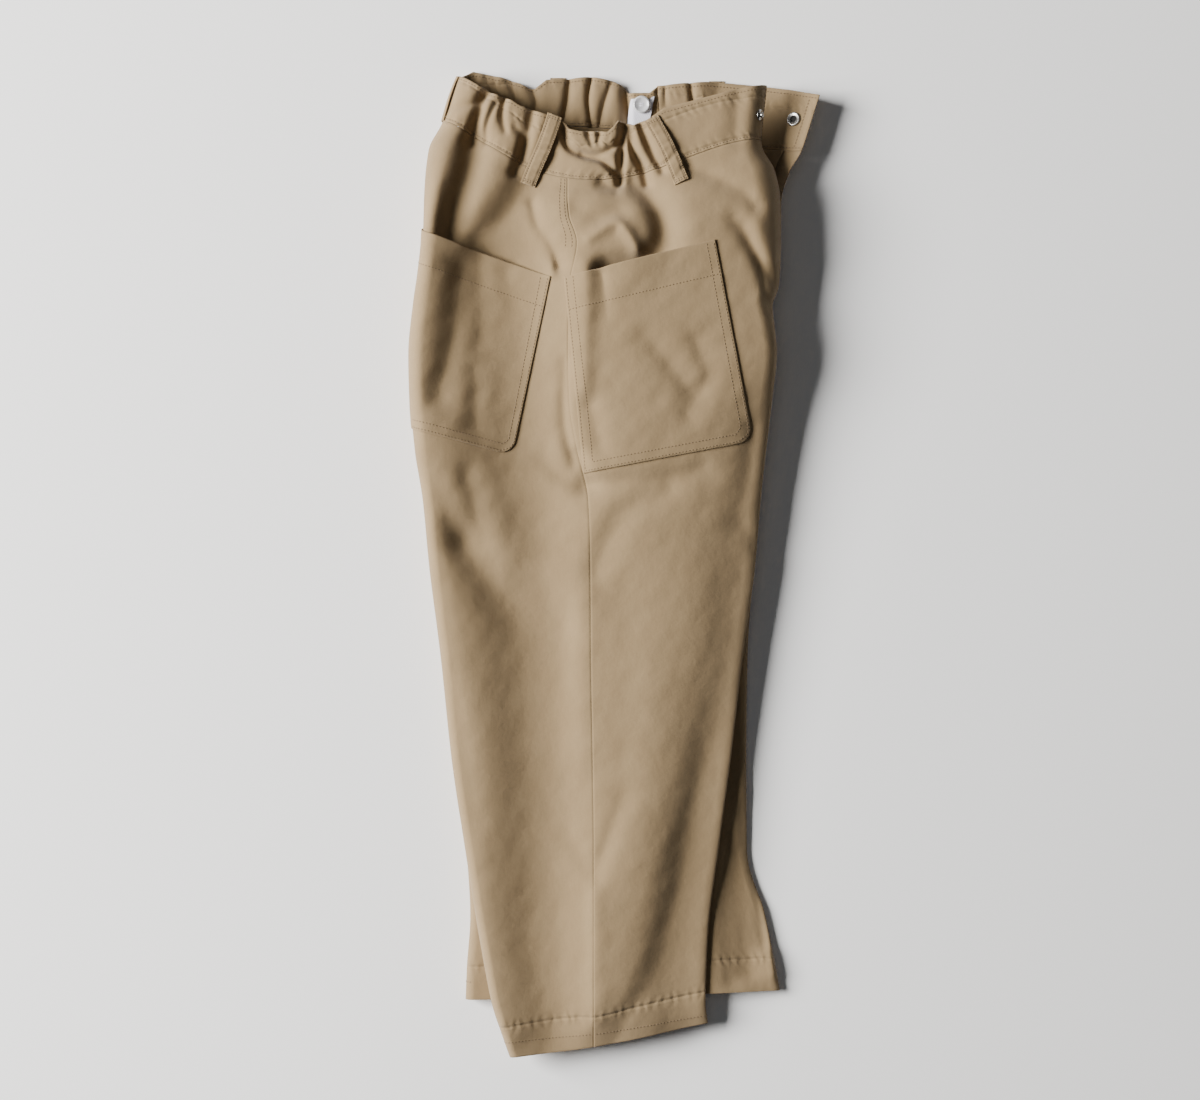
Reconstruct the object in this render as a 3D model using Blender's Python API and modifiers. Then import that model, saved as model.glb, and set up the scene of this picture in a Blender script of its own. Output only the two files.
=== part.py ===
# Cropped sailor trousers lying on their left side on a flat surface.
# X runs from the back of the garment to its fly, Y from the hems to the waist, Z up.
# Sizes are millimetres, and places in the tables are measured on the cloth as it lies.

import math
from collections import namedtuple

import bmesh
import bpy
from mathutils import Vector

# Cloth
MM = 0.001
WALL = 1.3
LAYER_WALL = 1.2
SEAM_GAP = 0.3
CROWN = 5.0
CROWN_ROWS = (1.0, 3.0)
DIP_SHARPNESS = 1.8
INSEAM_PLACE = 0.5
FLY_REACH = 60.0

# How a section is divided: its top, the round of its fold, and what turns under
TOP_SHARE = 0.7
FOLD_SHARE = 0.3
UNDER_SHARE = 0.4
RELIEF_TURNS = (TOP_SHARE - 0.05, 1.0)

# Waistband
BAND_ROWS = 4
BAND_INSET = 0.004
BAND_SPLIT_RIGHT = (30.0, 56.0)
BAND_SPLIT_LEFT = (36.0, 40.0)
FLAT_BAND_COLUMNS = 12
GATHERED_BAND_COLUMNS = 60
GATHER_DEPTH = 3.6
GATHER_COUNT = 15
GATHER_END = 0.95
GATHER_RISE = (0.0, 0.4)
# Unevenness of the gathers along the band: size, rate and phase
GATHER_DRIFT = (0.05, 7.3, 1.1)
GATHER_JITTER = (0.025, 19.0, 0.0)
GATHER_WEAKENING = (0.3, 11.0, 0.6)
GATHER_START = 0.04
GATHER_STOP = 0.05

# Leg panels
COLUMNS_UP = 21
COLUMNS_DOWN = 13
ROWS_PER_SECTION_UP = 2
ROWS_PER_SECTION_DOWN = 1
PANEL_INSET = 0.008
BESIDE_SPLIT = 0.02
EDGE_COLUMN = 0.004

# Steps for slopes, and how often the search for a place on the cloth halves its range
STEP_T = 0.02
STEP_W = 0.004
SEARCH_STEPS = 24

# Fly facing
FACING_DEPTH = WALL + SEAM_GAP + 0.1
FACING_ROWS = 3
FACING_COLUMNS = 4

# Patch pockets. Their outer side is the one by the outseam in front and by the fold behind.
Pocket = namedtuple(
    "Pocket", "name side top_out top_in bottom_out bottom_in height gape fold_part")
POCKETS = [
    Pocket("pocket_front_right", 1, (-41.5, 256), (86.4, 287), (-29, 80), (120, 109),
           178, 2.4, 0.0),
    Pocket("pocket_back_right", -1, (-198, 304), (-60.3, 256), (-198, 123), (-95, 96),
           160, 0.0, 0.2),
]
POCKET_SEAT = 1.0
POCKET_CORNER = 14.0
POCKET_ROWS = 9
POCKET_COLUMNS = 15
POCKET_FOLD_COLUMNS = 7
CORNER_ROWS = (0.3, 0.6, 0.82, 0.95, 1.0)
GAPE_PLACE = 0.58
GAPE_SPREAD = 0.3
GAPE_DEPTH = 0.3

# Belt loops, by the middle of each end
Loop = namedtuple("Loop", "name top bottom")
STANDING_LOOPS = [
    Loop("belt_loop_side_right", (-56.5, 400), (-80, 339)),
    Loop("belt_loop_front_right", (30.5, 396), (57.5, 340)),
]
FLAT_LOOPS = [
    Loop("belt_loop_side_left", (-54.5, 441), (-54.5, 386)),
    Loop("belt_loop_front_left", (90.0, 438), (90.0, 383)),
]
LOOP_WIDTH = 14.0
LOOP_WALL = 1.3
LOOP_ROWS = 8
LOOP_SEAT = 1.0
LOOP_ARCH = 1.4
FLAT_LOOP_BOTTOM = 0.15
FLAT_LOOP_TOP = 1.4
BACK_LOOP_REACH = 0.09
BACK_LOOP_SEAT = 0.1
BACK_LOOP_ARCH = 1.0
BACK_LOOP_ROWS = (0.02, 0.2, 0.4, 0.6, 0.8, 0.98)

# Elastic tape and its button
TAPE_LEFT = 13.0
TAPE_RIGHT = 31.5
TAPE_TOP = 0.28
TAPE_BOTTOM = 0.99
TAPE_CELLS = 3
TAPE_DEPTH = WALL + SEAM_GAP + GATHER_DEPTH
BUTTON_PLACE = (21.4, 414.5)
BUTTON_RADIUS = 8.0

# Ring snap: places are t and w on the cloth
SNAP_RADIUS = 6.5
SNAP_HOLE_RADIUS = 2.7
STUD_RADIUS = 5.0
SOCKET_PLACE = (0.44, 0.925)
SOCKET_SEAT = 0.45
STUD_PLACE = (0.5, 0.88)

# Turned profiles: radius and height, down the outer side
TURN_STEPS = 24
SOCKET_PROFILE = [
    (SNAP_HOLE_RADIUS, 0.7), (SNAP_HOLE_RADIUS + 1.0, 1.5), (SNAP_RADIUS - 1.4, 1.7),
    (SNAP_RADIUS, 0.8), (SNAP_RADIUS, 0.0), (SNAP_HOLE_RADIUS, 0.0),
]
CAP_PROFILE = [(0.0, 1.4), (SNAP_RADIUS, 0.9), (SNAP_RADIUS + 0.5, 0.0), (0.0, 0.0)]
STUD_PROFILE = [
    (0.0, 3.4), (STUD_RADIUS / 2, 3.0), (STUD_RADIUS / 2 - 0.3, 1.0),
    (STUD_RADIUS - 0.3, 0.8), (STUD_RADIUS, 0.0), (0.0, 0.0),
]
BUTTON_PROFILE = [
    (0.0, 1.7), (BUTTON_RADIUS - 2.2, 1.9), (BUTTON_RADIUS - 0.6, 2.4),
    (BUTTON_RADIUS, 1.0), (BUTTON_RADIUS - 0.8, 0.0), (0.0, 0.0),
]

# Shading: edges sharper than this, in degrees, stay sharp
CLOTH_SHARP_ANGLE = 50
METAL_SHARP_ANGLE = 40

Section = namedtuple(
    "Section",
    "place y_back x_back y_front x_front outseam dip top base under_back under_front ramp",
)

# A section runs from the back fold to the front fold. top is the height of the upper leg,
# base the height where the two legs meet. under says how far the panel turns under its
# fold: 0 ends at mid height, 1 at the foot of the fold, 2 at the inseam. ramp opens the fly.
SEAT = [
    Section("fly foot", 299, -174.6, 290, 147.0, -37, -10, 52, 26, 1.00, 0.00, 0),
    Section("pocket mouth", 259, -178.6, 250, 144.9, -43, -3, 52, 26, 1.15, 0.45, 0),
    Section("notch", 232, -182.5, 229, 139.0, -44.5, 0, 51, 25.5, 1.28, 0.75, 0),
    Section("mid pocket", 186, -186.8, 188, 142.7, -45, 0, 50, 25, 1.48, 1.05, 0),
    Section("seat", 145, -186.0, 145, 138.6, -44, 0, 48, 24, 1.72, 1.45, 0),
    Section("crotch", 101, -182.5, 101, 133.5, -37, 0, 46, 23, 2.00, 2.00, 0),
    Section("thigh", 56, -175.5, 56, 128.7, -27, 0, 43, 21.5, 2.00, 2.00, 0),
    Section("above knee", -5, -169.7, -5, 123.6, -25, 0, 40, 20, 2.00, 2.00, 0),
]
RIGHT_SECTIONS = [
    Section("waist top", 438.5, -144.5, 429.8, 134.6, -48, -48, 42, 22, 0.0, 0.0, 0),
    Section("waist seam", 396.8, -158.4, 379.4, 129.6, -45.5, -46, 45, 23.5, 0.0, 0.0, 0),
    Section("below waist", 371, -170.5, 353, 141.5, -45.5, -36, 48, 24.5, 0.35, 0.0, 0),
    Section("fly", 337, -173.7, 325, 146.6, -44, -22, 51, 25.5, 0.7, 0.0, 0),
    *SEAT,
    Section("knee", -82, -160.0, -86, 112.5, -24.5, 0, 37, 18.5, 2.0, 2.0, 0),
    Section("shin", -177, -150.0, -177, 102.0, -23, 0, 34, 17, 2.0, 2.0, 0),
    Section("low shin", -260, -137.5, -262, 90.5, -22, 0, 34, 17, 2.0, 2.0, 0),
    Section("ankle", -335, -125.5, -335, 81.5, -22, 0, 34, 17, 2.0, 2.0, 0),
    Section("over left hem", -400, -113.0, -394, 79.2, -22, -1, 34, 17, 2.0, 2.0, 0),
    Section("hem stitch", -423, -105.5, -405, 79.8, -22, -2, 32.5, 16, 2.0, 2.0, 0),
    Section("hem", -446.4, -97.7, -417, 81.6, -22, -3, 28.5, 12.5, 2.0, 2.0, 0),
]
LEFT_SECTIONS = [
    Section("waist top", 438.5, -144.5, 422.0, 182.7, -48, 7, 42, 22, 0.0, 0.0, 1),
    Section("waist seam", 396.8, -158.4, 371.0, 166.0, -45.5, 9, 45, 23.5, 0.0, 0.0, 1),
    Section("below waist", 371, -170.5, 352, 155.0, -45.5, 4, 48, 24.5, 0.35, 0.0, 0.7),
    Section("fly", 337, -173.7, 325, 147.4, -44, 0, 51, 25.5, 0.7, 0.0, 0.3),
    *SEAT,
    Section("knee", -82, -160.0, -86, 117.9, -24.5, 0, 37, 18.5, 2.0, 2.0, 0),
    Section("shin", -177, -150.0, -177, 116.8, -23, 0, 34, 17, 2.0, 2.0, 0),
    Section("low shin", -260, -137.5, -262, 117.5, -22, 0, 34, 17, 2.0, 2.0, 0),
    Section("ankle", -320, -134.0, -318, 133.5, -22, 0, 34, 17, 2.0, 2.0, 0),
    Section("hem stitch", -366, -137.0, -358, 141.5, -22, 0, 34, 17, 2.0, 2.0, 0),
    Section("hem", -396, -138.2, -388.5, 147.2, -22, 0, 34, 17, 2.0, 2.0, 0),
]

Fold = namedtuple("Fold", "place x_start y_start x_end y_end width depth")

# Troughs in the upper cloth, and ridges where the depth is below zero.
FOLDS = [
    Fold("seat drop", -136, 378, -155, 314, 11, 7.0),
    Fold("under back loop", -85, 335, -60, 264, 9, 5.0),
    Fold("under front loop", 39, 338, 39, 292, 13, 9.0),
    Fold("into pocket mouth", 39, 292, 7, 272, 11, 6.0),
    Fold("raised by pocket", -16, 297, 11, 285, 12, -4.0),
    Fold("fly side high", 107, 320, 127, 264, 9, 4.0),
    Fold("fly side low", 111, 298, 130, 246, 9, 3.5),
    Fold("pocket by outseam", -24, 258, -24, 167, 11, 2.0),
    Fold("pocket middle", 26, 199, 60, 158, 14, 2.5),
    Fold("pocket front", 71, 196, 63, 140, 14, 2.2),
    Fold("back pocket outer", -149, 227, -165, 151, 16, 2.5),
    Fold("back pocket middle", -124, 289, -124, 194, 16, 3.0),
    Fold("back pocket low", -129, 172, -129, 122, 15, 2.0),
    Fold("thigh high", -160, 79, -139, 18, 17, 6.0),
    Fold("thigh sweep", -139, 18, -88, -44, 17, 7.0),
    Fold("thigh end", -88, -44, -54, -54, 14, 4.0),
    Fold("thigh branch", -136, 79, -114, 2, 13, 4.0),
    Fold("thigh rise", -95, 22, -60, -12, 26, -4.0),
    Fold("below pockets", -67, 91, -29, 69, 10, 4.5),
    Fold("below front pocket", -29, 69, 32, 74, 10, 5.0),
    Fold("below pocket corner", 32, 74, 76, 83, 10, 3.5),
    Fold("outseam twist low", -18, -5, 4, 43, 11, 4.0),
    Fold("outseam twist high", 4, 43, 45, 64, 11, 3.5),
    Fold("leg highlight", -35, -40, -33, -175, 16, -3.0),
    Fold("shin branch front", 5, -210, -21, -281, 10, 2.5),
    Fold("shin branch back", -45, -248, -24, -279, 10, 2.0),
    Fold("pressed crease", -22, -285, -22, -408, 9, -2.5),
    Fold("shin drop high", 74, -190, 44, -291, 18, 6.0),
    Fold("shin drop middle", 44, -291, 23, -342, 17, 6.0),
    Fold("shin drop low", 23, -342, -7, -397, 15, 4.0),
]

KHAKI = (0.43, 0.33, 0.215)
ELASTIC_WHITE = (0.82, 0.81, 0.85)
BUTTON_CLEAR = (0.80, 0.80, 0.78)
STEEL = (0.62, 0.62, 0.60)


def smooth(value, low, high):
    """Goes from 0 at low to 1 at high with level ends."""
    part = min(1.0, max(0.0, (value - low) / (high - low)))
    return part * part * (3.0 - 2.0 * part)


def shares(count):
    return [i / count for i in range(count + 1)]


def edge_shares(count):
    """Shares with one more close to each end, so that a wall's rim stands square there."""
    return [0.0, EDGE_COLUMN] + shares(count)[1:-1] + [1.0 - EDGE_COLUMN, 1.0]


def monotone_slopes(values):
    """Slopes at each row that let a column pass through its values without overshoot."""
    steps = [after - before for before, after in zip(values, values[1:])]
    slopes = [steps[0]]
    for before, after in zip(steps, steps[1:]):
        same_way = before * after > 0
        slopes.append(2.0 * before * after / (before + after) if same_way else 0.0)
    slopes.append(steps[-1])
    return slopes


def trough(fold, x, y):
    """How much of a fold's depth reaches a place in plan, 1 on its line."""
    run_x = fold.x_end - fold.x_start
    run_y = fold.y_end - fold.y_start
    length = run_x * run_x + run_y * run_y
    along = ((x - fold.x_start) * run_x + (y - fold.y_start) * run_y) / length
    along = min(1.0, max(0.0, along))
    off_x = x - fold.x_start - along * run_x
    off_y = y - fold.y_start - along * run_y
    distance = (off_x * off_x + off_y * off_y) / (fold.width * fold.width)
    return math.exp(-distance)


class Half:
    """The right or the left half of the trousers, a run of sections from waist to hem.

    t counts the sections down from the waist. w goes round one: 0 is where front and back
    are divided, 1 the middle of the front fold and -1 the middle of the back fold.
    """

    def __init__(self, sections, upper, band_split):
        self.upper = upper
        self.band_split = band_split
        self.last = len(sections) - 1
        self.columns = {}
        for field in Section._fields[1:]:
            values = [float(getattr(section, field)) for section in sections]
            self.columns[field] = (values, monotone_slopes(values))

    def value(self, field, t):
        values, slopes = self.columns[field]
        row = min(self.last - 1, max(0, int(math.floor(t))))
        u = t - row
        first = values[row] * (1 + 2 * u) * (1 - u) ** 2 + slopes[row] * u * (1 - u) ** 2
        second = values[row + 1] * u * u * (3 - 2 * u) + slopes[row + 1] * u * u * (u - 1)
        return first + second

    def base(self, t):
        """Height of the plane where the halves meet, with this half's share of the gap."""
        return self.value("base", t) + SEAM_GAP / 2

    def width(self, t):
        return self.value("x_front", t) - self.value("x_back", t)

    def divide(self, t, band):
        """Where front and back are divided: at the outseam, or at the band's first gather."""
        if not band:
            return self.value("outseam", t)
        top_x, seam_x = self.band_split
        return top_x + (seam_x - top_x) * min(1.0, t)

    def under(self, t, side):
        return self.value("under_front" if side > 0 else "under_back", t)

    def edge_turn(self, t, side):
        """How far round its section a panel reaches."""
        under = self.under(t, side)
        if under >= 1.0:
            return 1.0 + FOLD_SHARE + UNDER_SHARE * (under - 1.0)
        angle = math.asin(under / (2.0 - under))
        return 1.0 + FOLD_SHARE * angle / (math.pi / 2)

    def fold_radius(self, t, side):
        turned = min(1.0, self.under(t, side))
        return (self.value("top", t) - self.base(t)) * (1.0 - turned / 2)

    def plan(self, t, place):
        """A section's point in plan, at a share of its way from back fold to front fold."""
        x = self.value("x_back", t) * (1 - place) + self.value("x_front", t) * place
        y = self.value("y_back", t) * (1 - place) + self.value("y_front", t) * place
        inside = min(1.0, max(0.0, place))
        sag = (4 * inside * (1 - inside)) ** DIP_SHARPNESS
        return x, y + self.value("dip", t) * sag

    def ring(self, t, side, turn, split_place):
        """A section's share of its width and its height: top, round of the fold, underside."""
        radius = self.fold_radius(t, side)
        reach = radius / self.width(t)
        centre = self.value("top", t) - radius
        fold_place = 1.0 if side > 0 else 0.0
        round_start = fold_place - side * reach
        if turn <= TOP_SHARE:
            place = split_place + (round_start - split_place) * turn / TOP_SHARE
            return place, centre + radius
        if turn <= 1.0 + FOLD_SHARE:
            angle = (turn - 1.0) / FOLD_SHARE * math.pi / 2
            return round_start + side * reach * math.cos(angle), centre - radius * math.sin(angle)
        part = (turn - 1.0 - FOLD_SHARE) / UNDER_SHARE
        return round_start + (INSEAM_PLACE - round_start) * part, centre - radius

    def fly_slope(self, t, turn, split_place):
        """The open fly's slope from the top face down to where the halves meet."""
        fly_share = FLY_REACH / self.width(t)
        along = min(1.0, turn / TOP_SHARE)
        part = max(0.0, (turn - TOP_SHARE) / (1.0 - TOP_SHARE))
        place = split_place + (1.0 - fly_share - split_place) * along + part * fly_share
        top = self.value("top", t)
        return place, top - (top - self.base(t)) * part * part

    def point(self, t, w, band=False):
        """A point of the cloth's outer face."""
        side = 1 if w >= 0 else -1
        turn = abs(w)
        split_place = (self.divide(t, band) - self.value("x_back", t)) / self.width(t)
        place, z = self.ring(t, side, turn, split_place)
        ramp = self.value("ramp", t) if side > 0 else 0.0
        if ramp > 0 and turn <= 1.0 + FOLD_SHARE:
            slope_place, slope_z = self.fly_slope(t, turn, split_place)
            place += (slope_place - place) * ramp
            z += (slope_z - z) * ramp
        x, y = self.plan(t, place)
        if self.upper:
            z += self.relief(t, turn, place, x, y)
        else:
            z = 2 * self.value("base", t) - z
        return Vector((x, y, z))

    def relief(self, t, turn, place, x, y):
        """Crown and folds of the upper face, gone where the cloth turns down at a fold."""
        if turn >= 1.0:
            return 0.0
        rise = CROWN * math.sin(math.pi * place) * smooth(t, *CROWN_ROWS)
        for fold in FOLDS:
            rise -= fold.depth * trough(fold, x, y)
        return rise * (1.0 - smooth(turn, *RELIEF_TURNS))

    def normal(self, t, w, band=False):
        """Direction out of the cloth at a point of the outer face."""
        across = self.point(t, w + STEP_W, band) - self.point(t, w - STEP_W, band)
        low = max(0.0, t - STEP_T)
        high = min(float(self.last), t + STEP_T)
        down = self.point(high, w, band) - self.point(low, w, band)
        out = down.cross(across) if self.upper else across.cross(down)
        return out.normalized()

    def gap_turn(self, t, w, band=False):
        """Change of w that moves a point half a seam gap along its section."""
        run = self.point(t, w + STEP_W, band) - self.point(t, w - STEP_W, band)
        return SEAM_GAP * STEP_W / run.length

    def locate(self, x, y):
        """Finds t and w for a place that is measured on the cloth, past the folds too."""
        low, high = 0.0, float(self.last)
        for _ in range(SEARCH_STEPS):
            t = (low + high) / 2
            place = (x - self.value("x_back", t)) / self.width(t)
            if self.plan(t, min(1.0, max(0.0, place)))[1] > y:
                low = t
            else:
                high = t
        split_x = self.value("outseam", t)
        side = 1 if x > split_x else -1
        radius = self.fold_radius(t, side)
        ramp = self.value("ramp", t) if side > 0 else 0.0
        fold_x = self.value("x_front" if side > 0 else "x_back", t)
        start = fold_x - side * (radius * (1 - ramp) + FLY_REACH * ramp)
        past = side * (x - start)
        if past <= 0:
            return t, side * TOP_SHARE * (x - split_x) / (start - split_x)
        return t, side * (TOP_SHARE + FOLD_SHARE * past / radius / (math.pi / 2))


def mesh_object(name, bm, sharp_angle):
    mesh = bpy.data.meshes.new(name)
    bm.to_mesh(mesh)
    bm.free()
    mesh.shade_smooth()
    mesh.set_sharp_from_angle(angle=math.radians(sharp_angle))
    return bpy.data.objects.new(name, mesh)


def cloth_wall(name, points, wall, grow):
    """A wall of cloth on rows of points. It grows along the grid's normals, or against them
    where grow is -1."""
    rows = len(points) - 1
    columns = len(points[0]) - 1
    bm = bmesh.new()
    bmesh.ops.create_grid(bm, x_segments=columns, y_segments=rows, size=0.5)
    for vert in bm.verts:
        column = round((vert.co.x + 0.5) * columns)
        row = round((0.5 - vert.co.y) * rows)
        vert.co = points[row][column] * MM
    bmesh.ops.triangulate(bm, faces=bm.faces, quad_method="ALTERNATE")
    piece = mesh_object(name, bm, CLOTH_SHARP_ANGLE)
    solid = piece.modifiers.new("wall", "SOLIDIFY")
    solid.thickness = wall * MM
    solid.offset = grow
    return piece


def outward(half, side):
    """1 where a half's rows of points, run out from the split, have normals out of the cloth."""
    return side if half.upper else -side


def panel_lines(half, side, columns, per_section):
    """The rows of a leg panel: each has its t and the w of its points."""
    count = (half.last - 1) * per_section
    lines = []
    for part in shares(count):
        t = 1.0 + PANEL_INSET + (half.last - 1.0 - PANEL_INSET) * part
        start = side * half.gap_turn(t, side * BESIDE_SPLIT)
        end = side * half.edge_turn(t, side)
        end -= side * half.gap_turn(t, end)
        lines.append((t, [start + (end - start) * place for place in edge_shares(columns)]))
    return lines


def leg_panel(name, half, side, columns, per_section):
    """One leg panel, from its outseam round the fold to the crotch seam and the inseam."""
    lines = panel_lines(half, side, columns, per_section)
    points = [[half.point(t, w) for w in turns] for t, turns in lines]
    return cloth_wall(name, points, WALL, -outward(half, side))


def fly_facing(left):
    """The facing inside the fly edge, over the panel's own rows and its last columns."""
    lines = panel_lines(left, 1, COLUMNS_DOWN, ROWS_PER_SECTION_DOWN)[:FACING_ROWS]
    points = []
    for t, turns in lines:
        places = turns[-FACING_COLUMNS - 2:-2]
        points.append([left.point(t, w) - left.normal(t, w) * FACING_DEPTH for w in places])
    return cloth_wall("fly_facing_left", points, LAYER_WALL, -outward(left, 1))


def swell(part, size, rate, phase):
    return size * math.sin(rate * part + phase)


def gather(part, depth):
    """Depth of the elastic's gathers at a share of the band's length."""
    uneven = swell(part, *GATHER_DRIFT) + swell(part, *GATHER_JITTER)
    wave = 0.5 - 0.5 * math.cos(2 * math.pi * GATHER_COUNT * (part + uneven))
    strength = 1.0 - GATHER_WEAKENING[0] + swell(part, *GATHER_WEAKENING)
    ends = smooth(part, 0.0, GATHER_START) * smooth(1.0 - part, 0.0, GATHER_STOP)
    return depth * wave * strength * ends


def band_panel(name, half, side, columns, gathered):
    """One length of the waistband, with gathers pushed in from its outer face."""
    points = []
    for level in shares(BAND_ROWS):
        t = (1.0 - BAND_INSET) * level
        start = side * half.gap_turn(t, side * BESIDE_SPLIT, True)
        end = side * (half.edge_turn(t, side) - half.gap_turn(t, 1.0, True))
        line = []
        for part in edge_shares(columns):
            w = start + (end - start) * part
            point = half.point(t, w, True)
            if gathered and abs(w) < GATHER_END:
                depth = GATHER_DEPTH * smooth(1.0 - t, *GATHER_RISE)
                point -= half.normal(t, w, True) * gather(part, depth)
            line.append(point)
        points.append(line)
    return cloth_wall(name, points, WALL, -outward(half, side))


def on_panel(half, lines, x, y):
    """A point and its normal on the straight run between two rows of a panel's grid."""
    t, w = half.locate(x, y)
    row = max(i for i, (row_t, turns) in enumerate(lines[:-1]) if row_t <= t or i == 0)
    near_t, near = lines[row]
    far_t, far = lines[row + 1]
    step = (t - near_t) / (far_t - near_t)
    start = near[0] + (far[0] - near[0]) * step
    end = near[-1] + (far[-1] - near[-1]) * step
    share = (w - start) / (end - start)
    near_w = near[0] + (near[-1] - near[0]) * share
    far_w = far[0] + (far[-1] - far[0]) * share
    point = half.point(near_t, near_w).lerp(half.point(far_t, far_w), step)
    normal = half.normal(near_t, near_w).lerp(half.normal(far_t, far_w), step)
    return point, normal.normalized()


def pocket_place(pocket, p, q):
    """A place on a patch pocket, p across and q down, with its lower inner corner rounded."""
    outer = Vector(pocket.top_out).lerp(Vector(pocket.bottom_out), q)
    inner = Vector(pocket.top_in).lerp(Vector(pocket.bottom_in), q)
    above = (1.0 - q) * pocket.height
    if above < POCKET_CORNER:
        cut = POCKET_CORNER - math.sqrt(POCKET_CORNER**2 - (POCKET_CORNER - above) ** 2)
        inner += (outer - inner).normalized() * cut
    return outer.lerp(inner, p)


def patch_pocket(pocket, right):
    """A pocket laid on the right leg. Its rows are closer where the corner is round."""
    lines = panel_lines(right, pocket.side, COLUMNS_UP, ROWS_PER_SECTION_UP)
    corner = POCKET_CORNER / pocket.height
    rows = [part * (1 - corner) for part in shares(POCKET_ROWS)]
    rows += [1 - corner * (1 - part) for part in CORNER_ROWS]
    rest = 1 - pocket.fold_part
    columns = [pocket.fold_part + rest * part for part in shares(POCKET_COLUMNS)]
    if pocket.fold_part:
        round_fold = [pocket.fold_part * part for part in shares(POCKET_FOLD_COLUMNS)]
        columns = round_fold[:-1] + columns
    points = []
    for q in rows:
        line = []
        for p in columns:
            place = pocket_place(pocket, p, q)
            point, normal = on_panel(right, lines, place.x, place.y)
            mouth = math.exp(-(((p - GAPE_PLACE) / GAPE_SPREAD) ** 2))
            gape = pocket.gape * mouth * (1 - smooth(q, 0.0, GAPE_DEPTH))
            line.append(point + normal * (POCKET_SEAT + gape))
        points.append(line)
    return cloth_wall(pocket.name, points, LAYER_WALL, 1)


def standing_loop(loop, half):
    """A belt loop that arches off the band and is sewn down at both ends."""
    top = Vector(loop.top)
    bottom = Vector(loop.bottom)
    across = Vector((bottom.y - top.y, top.x - bottom.x)).normalized() * LOOP_WIDTH / 2
    points = []
    for q in shares(LOOP_ROWS):
        lift = LOOP_SEAT + LOOP_ARCH * math.sin(math.pi * q)
        line = []
        for p in (1.0, 0.0, -1.0):
            spot = top.lerp(bottom, q) + across * p
            t, w = half.locate(spot.x, spot.y)
            line.append(half.point(t, w) + half.normal(t, w) * lift)
        points.append(line)
    return cloth_wall(loop.name, points, LOOP_WALL, 1)


def flat_loop(loop):
    """A loop under the lower band, pressed flat on the surface."""
    bm = bmesh.new()
    bmesh.ops.create_cube(bm, size=1.0)
    size = Vector((LOOP_WIDTH, loop.top[1] - loop.bottom[1], FLAT_LOOP_TOP - FLAT_LOOP_BOTTOM))
    middle = Vector((loop.top[0], (loop.top[1] + loop.bottom[1]) / 2, 0.0))
    middle.z = (FLAT_LOOP_TOP + FLAT_LOOP_BOTTOM) / 2
    bmesh.ops.scale(bm, verts=bm.verts, vec=size * MM)
    bmesh.ops.translate(bm, verts=bm.verts, vec=middle * MM)
    return mesh_object(loop.name, bm, CLOTH_SHARP_ANGLE)


def back_loop(right, left):
    """The centre back loop, bent round the fold over both halves of the band."""
    over = [(right, BACK_LOOP_REACH), (right, BACK_LOOP_REACH / 2), (right, 0.0)]
    over += [(left, BACK_LOOP_REACH / 2), (left, BACK_LOOP_REACH)]
    points = []
    for t in BACK_LOOP_ROWS:
        lift = SEAM_GAP + BACK_LOOP_SEAT + BACK_LOOP_ARCH * math.sin(math.pi * t)
        line = []
        for half, reach in over:
            w = reach - 1.0
            line.append(half.point(t, w) + half.normal(t, w) * lift)
        points.append(line)
    return cloth_wall("belt_loop_back", points, LOOP_WALL, -1)


def elastic_tape(left):
    """The end of the elastic, on the gathers' inner face in the lower band."""
    start = left.locate(TAPE_LEFT, BUTTON_PLACE[1])[1]
    end = left.locate(TAPE_RIGHT, BUTTON_PLACE[1])[1]
    points = []
    for q in shares(TAPE_CELLS):
        t = TAPE_TOP + (TAPE_BOTTOM - TAPE_TOP) * q
        line = []
        for p in shares(TAPE_CELLS):
            w = start + (end - start) * p
            line.append(left.point(t, w) - left.normal(t, w) * TAPE_DEPTH)
        points.append(line)
    return cloth_wall("elastic_tape", points, LAYER_WALL, -outward(left, 1))


def turned(name, profile, place, direction, closed=False):
    """A turned piece: its profile goes round the axis that runs through place."""
    bm = bmesh.new()
    verts = [bm.verts.new(Vector((radius, 0.0, height)) * MM) for radius, height in profile]
    pairs = list(zip(verts, verts[1:]))
    if closed:
        pairs.append((verts[-1], verts[0]))
    for pair in pairs:
        bm.edges.new(pair)
    piece = mesh_object(name, bm, METAL_SHARP_ANGLE)
    piece.location = place * MM
    piece.rotation_mode = "QUATERNION"
    piece.rotation_quaternion = Vector((0.0, 0.0, 1.0)).rotation_difference(direction)
    screw = piece.modifiers.new("turn", "SCREW")
    screw.axis = "Z"
    screw.angle = 2 * math.pi
    screw.steps = TURN_STEPS
    screw.render_steps = TURN_STEPS
    screw.use_merge_vertices = True
    screw.merge_threshold = 0.00002
    return piece


def ring_snap(right, left):
    """Socket and cap on the left band's end, and the stud on the right band's end."""
    point = left.point(*SOCKET_PLACE)
    out = left.normal(*SOCKET_PLACE)
    seat = point - out * (WALL + SEAM_GAP + SOCKET_SEAT)
    socket = turned("snap_socket", SOCKET_PROFILE, seat, -out, closed=True)
    cap = turned("snap_cap", CAP_PROFILE, point + out * SEAM_GAP, out)
    point = right.point(*STUD_PLACE)
    out = right.normal(*STUD_PLACE)
    stud = turned("snap_stud", STUD_PROFILE, point + out * SEAM_GAP, out)
    return [socket, cap, stud]


def elastic_button(left):
    """The button that lies on the elastic tape."""
    spot = left.point(*left.locate(*BUTTON_PLACE))
    spot.z += TAPE_DEPTH + LAYER_WALL + SEAM_GAP
    return turned("elastic_button", BUTTON_PROFILE, spot, Vector((0.0, 0.0, 1.0)))


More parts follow.
